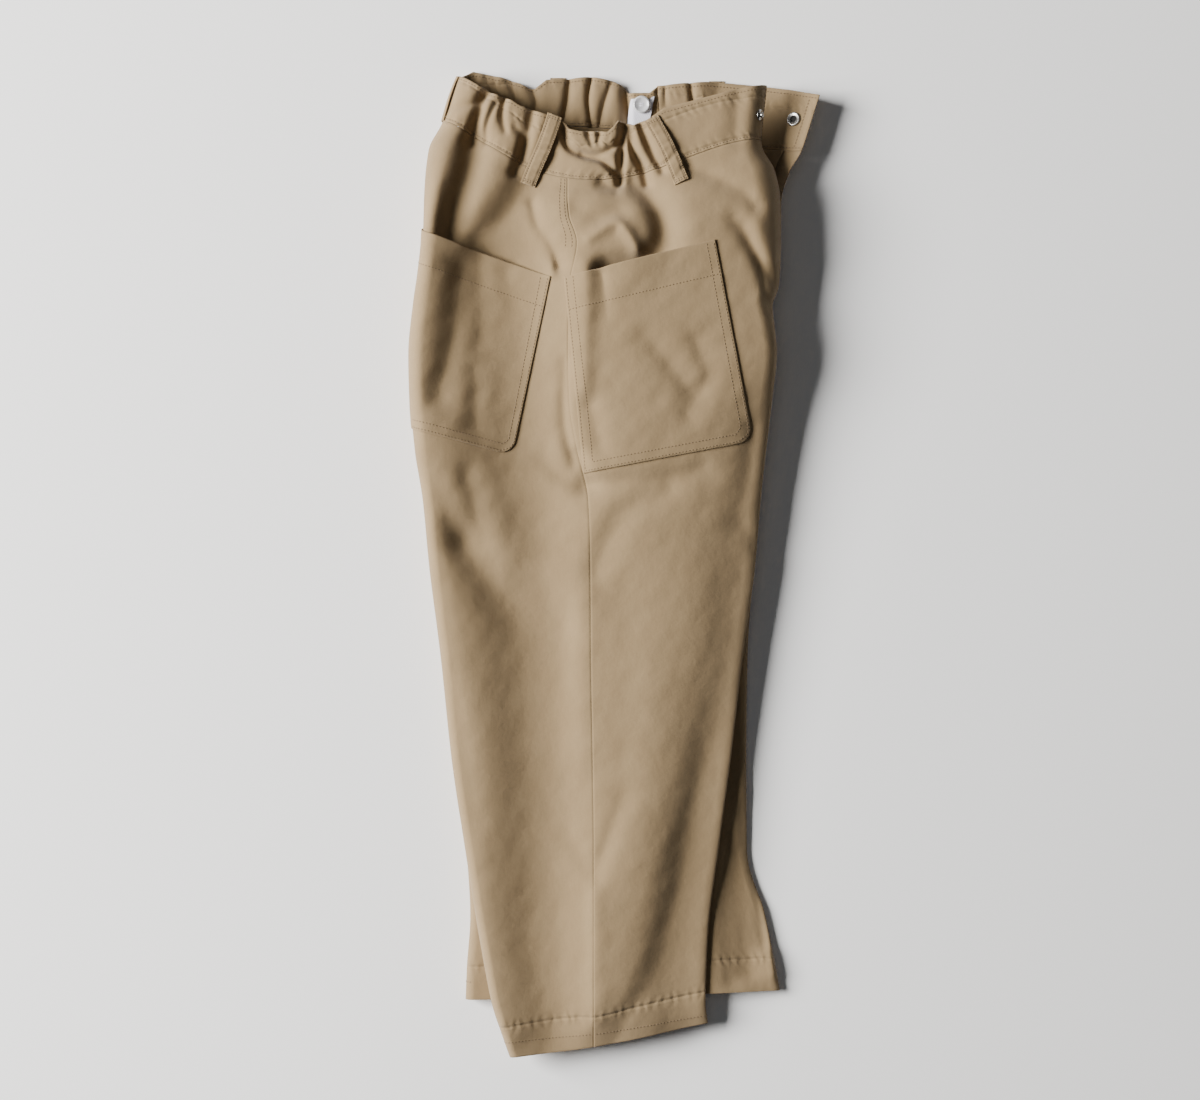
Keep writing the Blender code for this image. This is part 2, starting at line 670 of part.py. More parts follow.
def make_material(name, color, roughness, metallic=0.0):
    material = bpy.data.materials.new(name)
    material.use_nodes = True
    shader = material.node_tree.nodes["Principled BSDF"]
    shader.inputs["Base Color"].default_value = (*color, 1.0)
    shader.inputs["Roughness"].default_value = roughness
    shader.inputs["Metallic"].default_value = metallic
    return material


def add_pieces(pieces, material, collection):
    for piece in pieces:
        piece.data.materials.append(material)
        collection.objects.link(piece)


def main():
    for obj in list(bpy.data.objects):
        bpy.data.objects.remove(obj, do_unlink=True)
    trousers = bpy.data.collections.new("sailor_pants")
    bpy.context.scene.collection.children.link(trousers)
    right = Half(RIGHT_SECTIONS, True, BAND_SPLIT_RIGHT)
    left = Half(LEFT_SECTIONS, False, BAND_SPLIT_LEFT)

    cloth = [
        leg_panel("panel_front_right", right, 1, COLUMNS_UP, ROWS_PER_SECTION_UP),
        leg_panel("panel_back_right", right, -1, COLUMNS_UP, ROWS_PER_SECTION_UP),
        leg_panel("panel_front_left", left, 1, COLUMNS_DOWN, ROWS_PER_SECTION_DOWN),
        leg_panel("panel_back_left", left, -1, COLUMNS_DOWN, ROWS_PER_SECTION_DOWN),
        band_panel("waistband_front_right", right, 1, FLAT_BAND_COLUMNS, False),
        band_panel("waistband_back_right", right, -1, GATHERED_BAND_COLUMNS, True),
        band_panel("waistband_front_left", left, 1, FLAT_BAND_COLUMNS, False),
        band_panel("waistband_back_left", left, -1, GATHERED_BAND_COLUMNS, True),
        fly_facing(left),
        back_loop(right, left),
    ]
    cloth += [patch_pocket(pocket, right) for pocket in POCKETS]
    cloth += [standing_loop(loop, right) for loop in STANDING_LOOPS]
    cloth += [flat_loop(loop) for loop in FLAT_LOOPS]

    add_pieces(cloth, make_material("khaki_twill", KHAKI, 0.9), trousers)
    elastic = make_material("white_elastic", ELASTIC_WHITE, 0.8)
    add_pieces([elastic_tape(left)], elastic, trousers)
    clear = make_material("clear_button", BUTTON_CLEAR, 0.2)
    add_pieces([elastic_button(left)], clear, trousers)
    add_pieces(ring_snap(right, left), make_material("snap_steel", STEEL, 0.3, 1.0), trousers)


main()
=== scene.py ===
import math
from collections import namedtuple

import bmesh
import bpy
import numpy as np
from mathutils import Matrix, Vector


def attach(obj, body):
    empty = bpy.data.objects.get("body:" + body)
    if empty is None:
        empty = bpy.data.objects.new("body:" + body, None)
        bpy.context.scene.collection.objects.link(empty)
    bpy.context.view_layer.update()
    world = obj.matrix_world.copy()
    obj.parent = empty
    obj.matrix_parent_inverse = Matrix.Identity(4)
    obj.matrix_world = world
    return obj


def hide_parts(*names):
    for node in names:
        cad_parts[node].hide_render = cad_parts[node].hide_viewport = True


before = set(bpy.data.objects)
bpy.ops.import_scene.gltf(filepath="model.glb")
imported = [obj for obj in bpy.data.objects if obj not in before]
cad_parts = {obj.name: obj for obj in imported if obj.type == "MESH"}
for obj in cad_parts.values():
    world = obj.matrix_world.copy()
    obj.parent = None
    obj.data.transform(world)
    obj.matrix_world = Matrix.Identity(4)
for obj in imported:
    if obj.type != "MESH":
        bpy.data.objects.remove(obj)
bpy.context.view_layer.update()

# Camera
# The photograph looks straight down on the garment. One pixel of its 1200 by 1100 frame
# is 0.9 mm of cloth, and its middle lies a little left of and above the garment's centre.
PIXEL = 0.0009
FRAME_WIDTH = 1200 * PIXEL
CAMERA_PLACE = Vector((-0.0162, 0.01125, 2.6))
CLOTH_HEIGHT = 0.03
SENSOR = 36.0

camera_data = bpy.data.cameras.new("overhead")
camera_data.sensor_fit = "HORIZONTAL"
camera_data.sensor_width = SENSOR
camera_data.lens = SENSOR * (CAMERA_PLACE.z - CLOTH_HEIGHT) / FRAME_WIDTH
camera = bpy.data.objects.new("overhead", camera_data)
camera.location = CAMERA_PLACE
bpy.context.scene.collection.objects.link(camera)
bpy.context.scene.camera = camera


# Light and floor
# A broad window light from the left and a little from the waist end, with a weak white
# surround, on a seamless white floor.
SURROUND_COLOR = (0.93, 0.95, 1.0, 1.0)
SURROUND_STRENGTH = 0.04
FLOOR_REACH = 4.0
FLOOR_LEVEL = -0.0002


def area_light(name, place, target, size, power, color):
    data = bpy.data.lights.new(name, "AREA")
    data.shape = "SQUARE"
    data.size = size
    data.energy = power
    data.color = color
    light = bpy.data.objects.new(name, data)
    light.location = place
    aim = Vector(target) - Vector(place)
    light.rotation_euler = aim.to_track_quat("-Z", "Y").to_euler()
    bpy.context.scene.collection.objects.link(light)


area_light("window", (-3.56, 0.56, 2.12), (0.0, 0.0, 0.0), 2.1, 620.0, (1.0, 0.985, 0.96))
area_light("ceiling", (0.1, 0.4, 3.4), (0.0, 0.0, 0.0), 2.6, 5.0, (0.96, 0.98, 1.0))

world = bpy.data.worlds.new("studio")
world.use_nodes = True
surround = world.node_tree.nodes["Background"]
surround.inputs["Color"].default_value = SURROUND_COLOR
surround.inputs["Strength"].default_value = SURROUND_STRENGTH
bpy.context.scene.world = world

floor_bm = bmesh.new()
bmesh.ops.create_grid(floor_bm, x_segments=1, y_segments=1, size=FLOOR_REACH)
floor_mesh = bpy.data.meshes.new("floor")
floor_bm.to_mesh(floor_mesh)
floor_bm.free()
floor = bpy.data.objects.new("floor", floor_mesh)
floor.location.z = FLOOR_LEVEL
bpy.context.scene.collection.objects.link(floor)
floor_paint = bpy.data.materials.new("floor_white")
floor_paint.use_nodes = True
floor_shader = floor_paint.node_tree.nodes["Principled BSDF"]
floor_shader.inputs["Base Color"].default_value = (1.0, 1.0, 1.0, 1.0)
floor_shader.inputs["Roughness"].default_value = 0.9
floor_mesh.materials.append(floor_paint)


# Cotton twill
# Khaki chino cloth of about 260 g a square metre: a fine diagonal twill, matt, with a soft
# bloom of short fibre. Colour and weave follow the cut of each piece through its UV map,
# which is in metres.
TAU = 2 * math.pi


class Wire:
    """A node's output that can be used in sums."""

    def __init__(self, finish, socket):
        self.finish = finish
        self.socket = socket

    def join(self, operation, *others):
        terms = dict(enumerate((self, *others)))
        return self.finish.node("ShaderNodeMath", {"operation": operation}, terms)

    def __add__(self, other):
        return self.join("ADD", other)

    def __sub__(self, other):
        return self.join("SUBTRACT", other)

    def __mul__(self, other):
        return self.join("MULTIPLY", other)

    def __truediv__(self, other):
        return self.join("DIVIDE", other)

    def wave(self, pitch):
        """Runs between -1 and 1, once in each pitch."""
        turned = self * (TAU / pitch)
        return turned.join("SINE")


class Finish:
    """A material and its nodes."""

    def __init__(self, name, roughness, metallic=0.0):
        self.material = bpy.data.materials.new(name)
        self.material.use_nodes = True
        self.tree = self.material.node_tree
        self.shader = self.tree.nodes["Principled BSDF"]
        self.shader.inputs["Roughness"].default_value = roughness
        self.shader.inputs["Metallic"].default_value = metallic

    def node(self, kind, settings=None, values=None, output=0):
        node = self.tree.nodes.new(kind)
        for key, setting in (settings or {}).items():
            setattr(node, key, setting)
        for key, value in (values or {}).items():
            if isinstance(value, Wire):
                self.tree.links.new(value.socket, node.inputs[key])
            else:
                node.inputs[key].default_value = value
        return Wire(self, node.outputs[output])

    def feed(self, name, wire):
        self.tree.links.new(wire.socket, self.shader.inputs[name])

    def blend(self, amount, first, second):
        """Mixes two colours by an amount from 0 to 1."""
        settings = {"data_type": "RGBA"}
        return self.node("ShaderNodeMix", settings, {0: amount, 6: first, 7: second}, 2)

    def cut(self):
        """The piece's UV map, and its u and v in metres."""
        uv = self.node("ShaderNodeUVMap", {"uv_map": "cut"})
        u = self.node("ShaderNodeSeparateXYZ", None, {0: uv})
        return uv, u, Wire(self, u.socket.node.outputs[1])

    def spot(self):
        """The place in the piece's own axes."""
        return self.node("ShaderNodeTexCoord", None, None, 3)

    def noise(self, place, scale, detail=2.0):
        values = {"Vector": place, "Scale": scale, "Detail": detail}
        return self.node("ShaderNodeTexNoise", None, values)

    def emboss(self, strength, height):
        """Shades a relief given by its height in metres."""
        values = {"Strength": strength, "Distance": 1.0, "Height": height}
        self.feed("Normal", self.node("ShaderNodeBump", None, values))


CLOTH_LIGHT = (0.305, 0.216, 0.116, 1.0)
CLOTH_DEEP = (0.235, 0.160, 0.080, 1.0)
TWILL_PITCH = 0.0011
TWILL_SLOPE = 1.6
WEAVE_HEIGHT = 0.00003
FIBRE_HEIGHT = 0.00008
RUMPLE_HEIGHT = 0.0011
SEAM_WIDTH, SEAM_SINK = 0.0022, 0.0008
PUCKER_REACH, PUCKER_SINK = 0.008, 0.0006
PUCKER_PITCH = 0.0085


def ridge(distance, half_width):
    """1 on a line and 0 past half_width, for a distance that runs through zero."""
    near = distance.join("ABSOLUTE") / half_width
    return near.join("SMOOTH_MIN", 1.0, 0.3) * -1.0 + 1.0


def twill(name, across=(), along=()):
    """Twill cloth. across and along are places of seams, in metres of the UV map."""
    finish = Finish(name, 0.86)
    finish.shader.inputs["Sheen Weight"].default_value = 0.18
    finish.shader.inputs["Sheen Roughness"].default_value = 0.55
    finish.shader.inputs["Specular IOR Level"].default_value = 0.22
    uv, u, v = finish.cut()
    spot = finish.spot()
    slub_spot = finish.node(
        "ShaderNodeMapping", None, {"Vector": uv, "Scale": (1800.0, 90.0, 1.0)})
    mottle = finish.noise(spot, 26.0, 4.0)
    fibre = finish.noise(spot, 900.0)
    slub = finish.noise(slub_spot, 1.0, 1.0)
    tone = mottle * 0.75 + fibre * 0.35 + slub * 0.3 - 0.2
    finish.feed("Base Color", finish.blend(tone, CLOTH_DEEP, CLOTH_LIGHT))
    weave = (u + v * TWILL_SLOPE).wave(TWILL_PITCH)
    rumple = finish.noise(spot, 60.0, 3.0)
    height = weave * WEAVE_HEIGHT + fibre * FIBRE_HEIGHT + rumple * RUMPLE_HEIGHT
    for axis, other, seams in ((u, v, across), (v, u, along)):
        for seam in seams:
            pull = other * (TAU / PUCKER_PITCH) + rumple * 9.0
            pucker = pull.join("SINE") * 0.5 + 0.5
            height = height - ridge(axis - seam, SEAM_WIDTH) * SEAM_SINK
            height = height - ridge(axis - seam, PUCKER_REACH) * pucker * PUCKER_SINK
    finish.emboss(0.75, height)
    return finish.material


# Leg panels
# Each leg is a front and a back panel of twill, seamed at the outseam, the inseam and the
# crotch. The right leg lies on the left one. Sections run from the back fold to the front
# fold, in millimetres on the cloth as it lies; both legs share the rows of the seat.
Section = namedtuple(
    "Section",
    "place y_back x_back y_front x_front outseam dip top base under_back under_front ramp",
    defaults=(2.0, 2.0, 0),
)
SEAT = [
    Section("fly foot", 299, -174.6, 290, 147.0, -37, -10, 52, 26, 1.00, 0.00, 0),
    Section("pocket mouth", 259, -178.6, 250, 144.9, -43, -3, 52, 26, 1.15, 0.45, 0),
    Section("notch", 232, -182.5, 229, 139.0, -44.5, 0, 51, 25.5, 1.28, 0.75, 0),
    Section("mid pocket", 186, -186.8, 188, 142.7, -45, 0, 50, 25, 1.48, 1.05, 0),
    Section("seat", 145, -186.0, 145, 138.6, -44, 0, 48, 24, 1.72, 1.45, 0),
    Section("crotch", 101, -182.5, 101, 133.5, -37, 0, 46, 23),
    Section("thigh", 56, -175.5, 56, 128.7, -27, 0, 43, 21.5),
    Section("above knee", -5, -169.7, -5, 123.6, -25, 0, 40, 20),
]
RIGHT_SECTIONS = [
    Section("waist top", 438.5, -144.5, 429.8, 134.6, -48, -48, 42, 22, 0.0, 0.0, 0),
    Section("waist seam", 396.8, -158.4, 379.4, 129.6, -45.5, -46, 45, 23.5, 0.0, 0.0, 0),
    Section("below waist", 371, -170.5, 353, 141.5, -45.5, -36, 48, 24.5, 0.35, 0.0, 0),
    Section("fly", 337, -173.7, 325, 146.6, -44, -22, 51, 25.5, 0.7, 0.0, 0),
    *SEAT,
    Section("knee", -82, -160.0, -86, 112.5, -24.5, 0, 37, 18.5),
    Section("shin", -177, -150.0, -177, 102.0, -23, 0, 34, 17),
    Section("low shin", -260, -137.5, -262, 90.5, -22, 0, 34, 17),
    Section("ankle", -335, -125.5, -335, 81.5, -22, 0, 34, 17),
    Section("over left hem", -400, -113.0, -394, 79.2, -22, -1, 34, 17),
    Section("hem stitch", -423, -105.5, -405, 79.8, -22, -2, 32.5, 16),
    Section("hem", -446.4, -97.7, -417, 81.6, -22, -3, 28.5, 12.5),
]
LEFT_SECTIONS = [
    Section("waist top", 438.5, -144.5, 422.0, 182.7, -48, 7, 42, 22, 0.0, 0.0, 1),
    Section("waist seam", 396.8, -158.4, 371.0, 166.0, -45.5, 9, 45, 23.5, 0.0, 0.0, 1),
    Section("below waist", 371, -170.5, 352, 155.0, -45.5, 4, 48, 24.5, 0.35, 0.0, 0.7),
    Section("fly", 337, -173.7, 325, 147.4, -44, 0, 51, 25.5, 0.7, 0.0, 0.3),
    *SEAT,
    Section("knee", -82, -160.0, -86, 117.9, -24.5, 0, 37, 18.5),
    Section("shin", -177, -150.0, -177, 116.8, -23, 0, 34, 17),
    Section("low shin", -260, -137.5, -262, 117.5, -22, 0, 34, 17),
    Section("ankle", -320, -134.0, -318, 133.5, -22, 0, 34, 17),
    Section("hem stitch", -366, -137.0, -358, 141.5, -22, 0, 34, 17),
    Section("hem", -396, -138.2, -388.5, 147.2, -22, 0, 34, 17),
]

# A panel turns from the top over its fold to the underside in these shares of its width.
TOP_SHARE, FOLD_SHARE, UNDER_SHARE = 0.7, 0.3, 0.4
INSEAM_PLACE = 0.5
DIP_SHARPNESS, DIP_SKEW = 1.8, 0.85
FLY_REACH = 60.0
SEAM_GAP = 0.3
MM = 0.001

# A fold runs along its points. The widths are to its left and right as it runs, and start
# and end are its strength there. A ridge has a depth below zero.
Fold = namedtuple("Fold", "place points left right depth start end")


def fold_table(*rows):
    return [Fold(*row) for row in rows]


BAND_FOLDS = fold_table(
    ("corner crease", ((-115, 422), (-131, 411), (-154, 408)), 4, 5, 5.6, 0.9, 0.4),
    ("seat drop top", ((-120, 418), (-127, 396), (-131, 378)), 4, 5, 10.0, 0.5, 1.0),
    ("beside seat drop", ((-110, 412), (-117, 394), (-119, 376)), 3, 3, 4.4, 0.8, 0.5),
    ("first gather", ((-102, 416), (-104, 401), (-101, 387)), 3, 4, 6.9, 1.0, 0.4),
    ("second gather", ((-92, 390), (-85, 381), (-87, 362)), 4, 4, 5.6, 0.4, 1.0),
    ("under side loop", ((-77, 406), (-82, 380), (-92, 350)), 5, 5, 6.9, 0.7, 0.9),
    ("beside side loop", ((-60, 398), (-66, 378), (-70, 356)), 3, 4, 4.4, 0.9, 0.5),
    ("curl", ((-50, 388), (-45, 373), (-31, 365), (-14, 360), (-2, 349)), 4, 3, 7.5, 0.8, 0.9),
    ("curl fold", ((-32, 367), (-17, 366.5), (-5, 372), (2, 377)), 3, 3, 6.2, 0.5, 0.9),
    ("short gather one", ((-27, 385), (-24, 375)), 3, 3, 4.4, 1.0, 0.4),
    ("short gather two", ((-17, 384), (-18, 375)), 3, 3, 4.4, 1.0, 0.4),
    ("straight gather", ((5, 392), (3.5, 365), (1.8, 340)), 3, 4, 10.0, 0.9, 0.8),
    ("slant gather", ((9, 390), (13, 372), (22, 354), (26, 340)), 4, 4, 8.8, 1.0, 0.9),
    ("gather by loop", ((20, 392), (31, 366), (40, 351)), 4, 4, 6.9, 1.0, 0.7),
    ("band turn", ((108, 420), (105, 380)), 10, 8, 2.8, 1.0, 0.8),
)
BODY_FOLDS = fold_table(
    ("back hollow", ((-94, 270), (-88, 230), (-84, 130), (-73, 40), (-68, -60), (-62, -200),
                     (-50, -430)), 44, 50, 19.0, 1.15, 0.8),
    ("back ridge", ((-168, 320), (-176, 230), (-174, 150), (-158, 50), (-141, -80),
                    (-126, -200), (-105, -430)), 40, 26, -10.0, 1.0, 0.65),
    ("shin swell", ((12, -150), (-2, -250), (-22, -340), (-40, -440)), 46, 56, -7.0, 0.2, 1.0),
    ("front hollow", ((6, -20), (8, -120), (2, -200)), 22, 22, 3.0, 0.7, 0.9),
    ("front edge fall", ((136, 130), (126, 20), (108, -150), (90, -300), (82, -430)), 40, 38,
         12.0, 0.5, 1.15),
)
PANEL_FOLDS = fold_table(
    ("seat drop", ((-129, 378), (-135, 349), (-145, 318), (-151, 290)), 15, 12, 15.0, 0.9, 0.9),
    ("seat fall", ((-70, 360), (-84, 335), (-100, 308), (-116, 284)), 28, 17, 14.0, 0.7, 0.9),
    ("under seam one", ((-14, 341), (-2, 334)), 6, 7, 5.0, 1.0, 0.8),
    ("loop trough", ((-77, 322), (-72, 303), (-62, 287), (-53, 266)), 6, 5, 5.5, 0.6, 1.0),
    ("loop ridge", ((-69, 298), (-60, 279), (-58.5, 259)), 5, 5, -2.5, 0.6, 1.0),
    ("crescent", ((14, 342), (31, 323), (40, 301), (37, 281), (21, 268), (-7, 262)), 15, 11,
         14.0, 0.7, 0.9),
    ("facet ridge", ((-26, 289), (-3, 303), (7, 296), (17, 279)), 6, 6, -5.0, 0.6, 1.0),
    ("above facet", ((-36, 316), (-17, 310), (0, 314)), 11, 11, 4.5, 0.7, 0.8),
    ("fly drape", ((61, 355), (84, 346), (110, 332), (122, 319)), 8, 10, 4.0, 0.7, 0.9),
    ("fly trough", ((104, 306), (120, 281), (133, 262), (143, 247)), 10, 8, 6.5, 0.4, 1.0),
    ("fly ridge", ((113, 318), (126, 296), (136, 274)), 9, 9, -1.5, 0.7, 0.9),
    ("fly low", ((112, 300), (126, 270), (131, 246), (138, 225)), 5, 5, 3.5, 0.4, 1.0),
    ("thigh high", ((-167, 79), (-152, 44), (-138, 18)), 20, 15, 7.0, 0.6, 1.0),
    ("thigh sweep", ((-138, 18), (-116, -20), (-88, -44), (-54, -54)), 16, 20, 8.0, 1.0, 0.5),
    ("thigh branch", ((-136, 79), (-125, 40), (-114, 2)), 13, 10, 4.5, 0.9, 0.5),
    ("thigh rise", ((-105, 30), (-80, 8), (-58, -12)), 28, 30, -4.5, 0.8, 0.8),
    ("below pockets", ((-67, 91), (-48, 76), (-29, 69)), 11, 8, 5.0, 0.6, 1.0),
    ("below front pocket", ((-29, 69), (0, 72), (32, 74), (76, 83)), 9, 11, 5.5, 1.0, 0.5),
    ("outseam twist", ((-20, -8), (4, 43), (45, 64)), 11, 13, 4.5, 0.8, 0.6),
    ("seam slit", ((-47, 180), (-48, 130), (-40, 88)), 5, 6, 4.5, 0.6, 0.9),
    ("seam pinch", ((-36, 98), (-30, 84)), 6, 6, 4.0, 1.0, 1.0),
    ("hip pinch", ((112, 34), (122, 24), (128, 12)), 7, 8, 3.5, 0.6, 1.0),
    ("hip drape", ((121, 120), (116, 70), (100, 30)), 8, 9, 2.5, 0.8, 0.4),
    ("leg highlight", ((-34, -35), (-33, -110), (-34, -178)), 13, 15, -3.5, 0.9, 0.5),
    ("shin branch front", ((5, -210), (-8, -246), (-21, -281)), 10, 8, 3.2, 0.5, 1.0),
    ("shin branch back", ((-45, -248), (-34, -264), (-22, -279)), 9, 8, 2.6, 0.5, 1.0),
    ("pressed crease", ((-22, -279), (-21.5, -340), (-22, -410)), 12, 7, -3.2, 1.0, 0.8),
    ("shin drop", ((84, -185), (70, -240), (52, -318), (34, -374), (12, -408), (-8, -446)),
         60, 18, 8.0, 0.7, 0.9),
    ("low hem hollow", ((-85, -330), (-70, -380), (-60, -420)), 20, 22, 3.0, 0.5, 0.9),
    ("back edge dip", ((-150, -110), (-136, -170), (-128, -230)), 12, 14, 3.0, 0.5, 0.5),
)
POCKET_FOLDS = fold_table(
    ("pocket side", ((-29, 262), (-29, 215), (-31, 158)), 9, 15, -5.0, 1.0, 0.7),
    ("pocket side step", ((-14, 256), (-10, 220)), 5, 7, 2.0, 1.0, 0.3),
    ("pocket middle", ((26, 200), (44, 180), (63, 155)), 13, 11, 3.5, 0.6, 0.9),
    ("pocket front", ((70, 197), (80, 166), (62, 134)), 11, 9, 3.0, 0.7, 0.8),
    ("pocket floor", ((-24, 140), (-15, 100)), 9, 9, 3.0, 0.9, 0.6),
    ("back pocket outer", ((-140, 262), (-148, 205), (-160, 150)), 15, 13, 6.0, 0.9, 1.0),
    ("back pocket middle", ((-124, 289), (-123, 240), (-124, 194)), 13, 12, 4.5, 1.0, 0.6),
    ("back pocket low", ((-129, 172), (-128, 122)), 10, 11, 3.0, 0.8, 0.8),
    ("back pocket mouth", ((-100, 262), (-96, 230)), 9, 8, 2.2, 1.0, 0.3),
)
LOW_LEG_FOLDS = fold_table(
    ("strip fall", ((118, -20), (116, -150), (120, -250), (132, -330), (146, -420)), 22, 30,
         9.0, 0.9, 0.9),
    ("flare", ((112, -225), (117, -262), (126, -300), (132, -345)), 7, 6, 7.0, 0.4, 0.9),
    ("flare inner", ((108, -262), (114, -321), (118, -372)), 9, 7, 6.0, 0.5, 0.9),
    ("low ridge", ((122, -270), (137, -330), (142, -372)), 5, 6, -3.0, 0.5, 1.0),
    ("low tuck", ((98, -250), (100, -320), (104, -380)), 8, 8, 4.0, 0.5, 0.8),
)
LOW_BAND_FOLDS = fold_table(
    ("inner one", ((-118, 443), (-112, 424), (-114, 404)), 5, 4, 4.0, 1.0, 0.8),
    ("inner two", ((-98, 438), (-92, 420), (-96, 402)), 4, 5, 5.0, 1.0, 0.8),
    ("inner three", ((-78, 432), (-74, 416), (-80, 398)), 4, 5, 5.0, 1.0, 0.8),
    ("inner four", ((-44, 440), (-46, 420), (-50, 400)), 5, 4, 6.0, 0.7, 1.0),
    ("inner five", ((-24, 441), (-27, 420), (-24, 396)), 3, 3, 5.0, 1.0, 0.8),
    ("inner six", ((-5, 438), (-12, 418), (-17, 396)), 4, 4, 4.5, 0.7, 1.0),
    ("inner seven", ((7, 436), (9, 415), (10, 398)), 4, 6, 9.0, 0.8, 1.0),
    ("window edge", ((36, 433), (34, 414), (36, 398)), 3, 3, 3.0, 0.8, 0.8),
    ("inner eight", ((66, 434), (67, 424), (70, 412)), 4, 3, 5.0, 0.7, 1.0),
    ("inner nine", ((43, 430), (43, 416)), 3, 3, 2.5, 1.0, 0.6),
)

# Pairs named ROWS, TURN and X are where a change begins and ends, counted in sections, round
# the panel from its split, and across the garment. The band stays flat under the tape.
CROWN, CROWN_ROWS = 5.0, (1.0, 3.0)
EDGE_FALL, EDGE_FALL_WIDTH, EDGE_FALL_ROWS = 7.0, 34.0, (5.0, 9.0)
LOW_LEG_ROWS = (9.0, 11.0)
LOW_BAND_ROWS = (0.9, 1.6)
LOW_GATHER_X = (70.0, 95.0)
LOW_GATHER_TURN = (0.7, 0.95)
LOW_BAND_RISE, LOW_BAND_RISE_X = 6.0, (-112.0, -72.0)
TAPE_FLAT = (11.0, 15.0, 31.5, 36.0)
RIPPLES = ((0.5, 75.0, 4), (0.22, 28.0, 9))
SINK_SHARE = 0.74
FLOOR_CLEAR = 0.1
SEARCH_STEPS = 26
ROW_STEP, TURN_STEP = 0.01, 0.003

# The waist edge as it lies, where the elastic pulls it in.
WAIST_EDGE_RIGHT = {
    "x": (-144.5, -130.5, -115.4, -95.4, -87.6, -72.5, -49.7, -44.6, -34.6, -9.3, 0.8, 7.0,
          13.4, 26.1, 41.2, 68.9, 106.8, 134.6),
    "y": (438.5, 431, 422, 414.5, 409.5, 404.6, 396.8, 389, 386.7, 386, 395.6, 393.5,
          392, 396.8, 407.3, 414.5, 424.6, 429.8),
}
WAIST_EDGE_LEFT = {
    "x": (-144.5, -131.8, -120.6, -105, -87.6, -81, -75, -64.8, -45, -24.5, -4.5, 5.9, 10.8,
          28.8, 36, 56.3, 81.6, 95.4, 132, 157.5, 182.7),
    "y": (438.5, 446, 444, 441, 434.7, 430, 430, 438, 438.8, 441, 437, 431, 426,
          426, 432.5, 434.7, 436.5, 436, 432.5, 428.4, 422),
}


def smooth(value, low, high):
    """Goes from 0 at low to 1 at high with level ends."""
    part = np.clip((value - low) / (high - low), 0.0, 1.0)
    return part * part * (3.0 - 2.0 * part)


def monotone_slopes(values):
    """Slopes at each row that let a column pass through its values without overshoot."""
    steps = [after - before for before, after in zip(values, values[1:])]
    slopes = [steps[0]]
    for before, after in zip(steps, steps[1:]):
        same_way = before * after > 0
        slopes.append(2.0 * before * after / (before + after) if same_way else 0.0)
    slopes.append(steps[-1])
    return slopes


def curve_through(points, steps=8):
    """A smooth run of places through a fold's own points."""
    points = np.array(points, float)
    padded = np.vstack([2 * points[0] - points[1], points, 2 * points[-1] - points[-2]])
    run = []
    for i in range(1, len(padded) - 2):
        a, b, c, d = padded[i - 1:i + 3]
        for u in np.arange(steps) / steps:
            run.append(0.5 * (2 * b + (c - a) * u + (2 * a - 5 * b + 4 * c - d) * u * u
                              + (3 * b - a - 3 * c + d) * u ** 3))
    run.append(points[-1])
    return np.array(run)


def fold_depth(fold, x, y):
    """How deep a fold is at places in plan."""
    run = curve_through(fold.points)
    reach = 3.0 * max(fold.left, fold.right)
    near = ((x > run[:, 0].min() - reach) & (x < run[:, 0].max() + reach)
            & (y > run[:, 1].min() - reach) & (y < run[:, 1].max() + reach))
    depth = np.zeros_like(x)
    px, py = x[near], y[near]
    best = np.full(px.shape, 1e9)
    along = np.zeros_like(px)
    turned = np.zeros_like(px)
    for i in range(len(run) - 1):
        step = run[i + 1] - run[i]
        size = step @ step
        part = np.clip(((px - run[i, 0]) * step[0] + (py - run[i, 1]) * step[1]) / size, 0, 1)
        off_x = px - run[i, 0] - part * step[0]
        off_y = py - run[i, 1] - part * step[1]
        distance = off_x ** 2 + off_y ** 2
        closer = distance < best
        best = np.where(closer, distance, best)
        along = np.where(closer, (i + part) / (len(run) - 1), along)
        cross = (step[0] * off_y - step[1] * off_x) / math.sqrt(size)
        turned = np.where(closer, cross, turned)
    distance = np.sqrt(best)
    side = turned / np.maximum(distance, 1e-6)
    width = (fold.left * (1.0 + side) + fold.right * (1.0 - side)) / 2
    strength = fold.start + (fold.end - fold.start) * along
    depth[near] = fold.depth * strength * np.exp(-((distance / width) ** 1.8))
    return depth


def ripple(x, y, size, seed):
    """Small uneven waves of the cloth, about 1 high and deep."""
    total = np.zeros_like(x)
    rng = np.random.default_rng(seed)
    for _ in range(7):
        angle, phase = rng.uniform(0, TAU, 2)
        pitch = size * rng.uniform(0.6, 1.7)
        total += np.sin((x * math.cos(angle) + y * math.sin(angle)) * TAU / pitch + phase)
    return total / 3.5


def within(rise, room):
    """Keeps what sinks within a share of the leg's height."""
    down = np.maximum(-rise, 0.0)
    down = down / (1.0 + (down / (SINK_SHARE * room)) ** 4) ** 0.25
    return np.where(rise < 0, -down, rise)


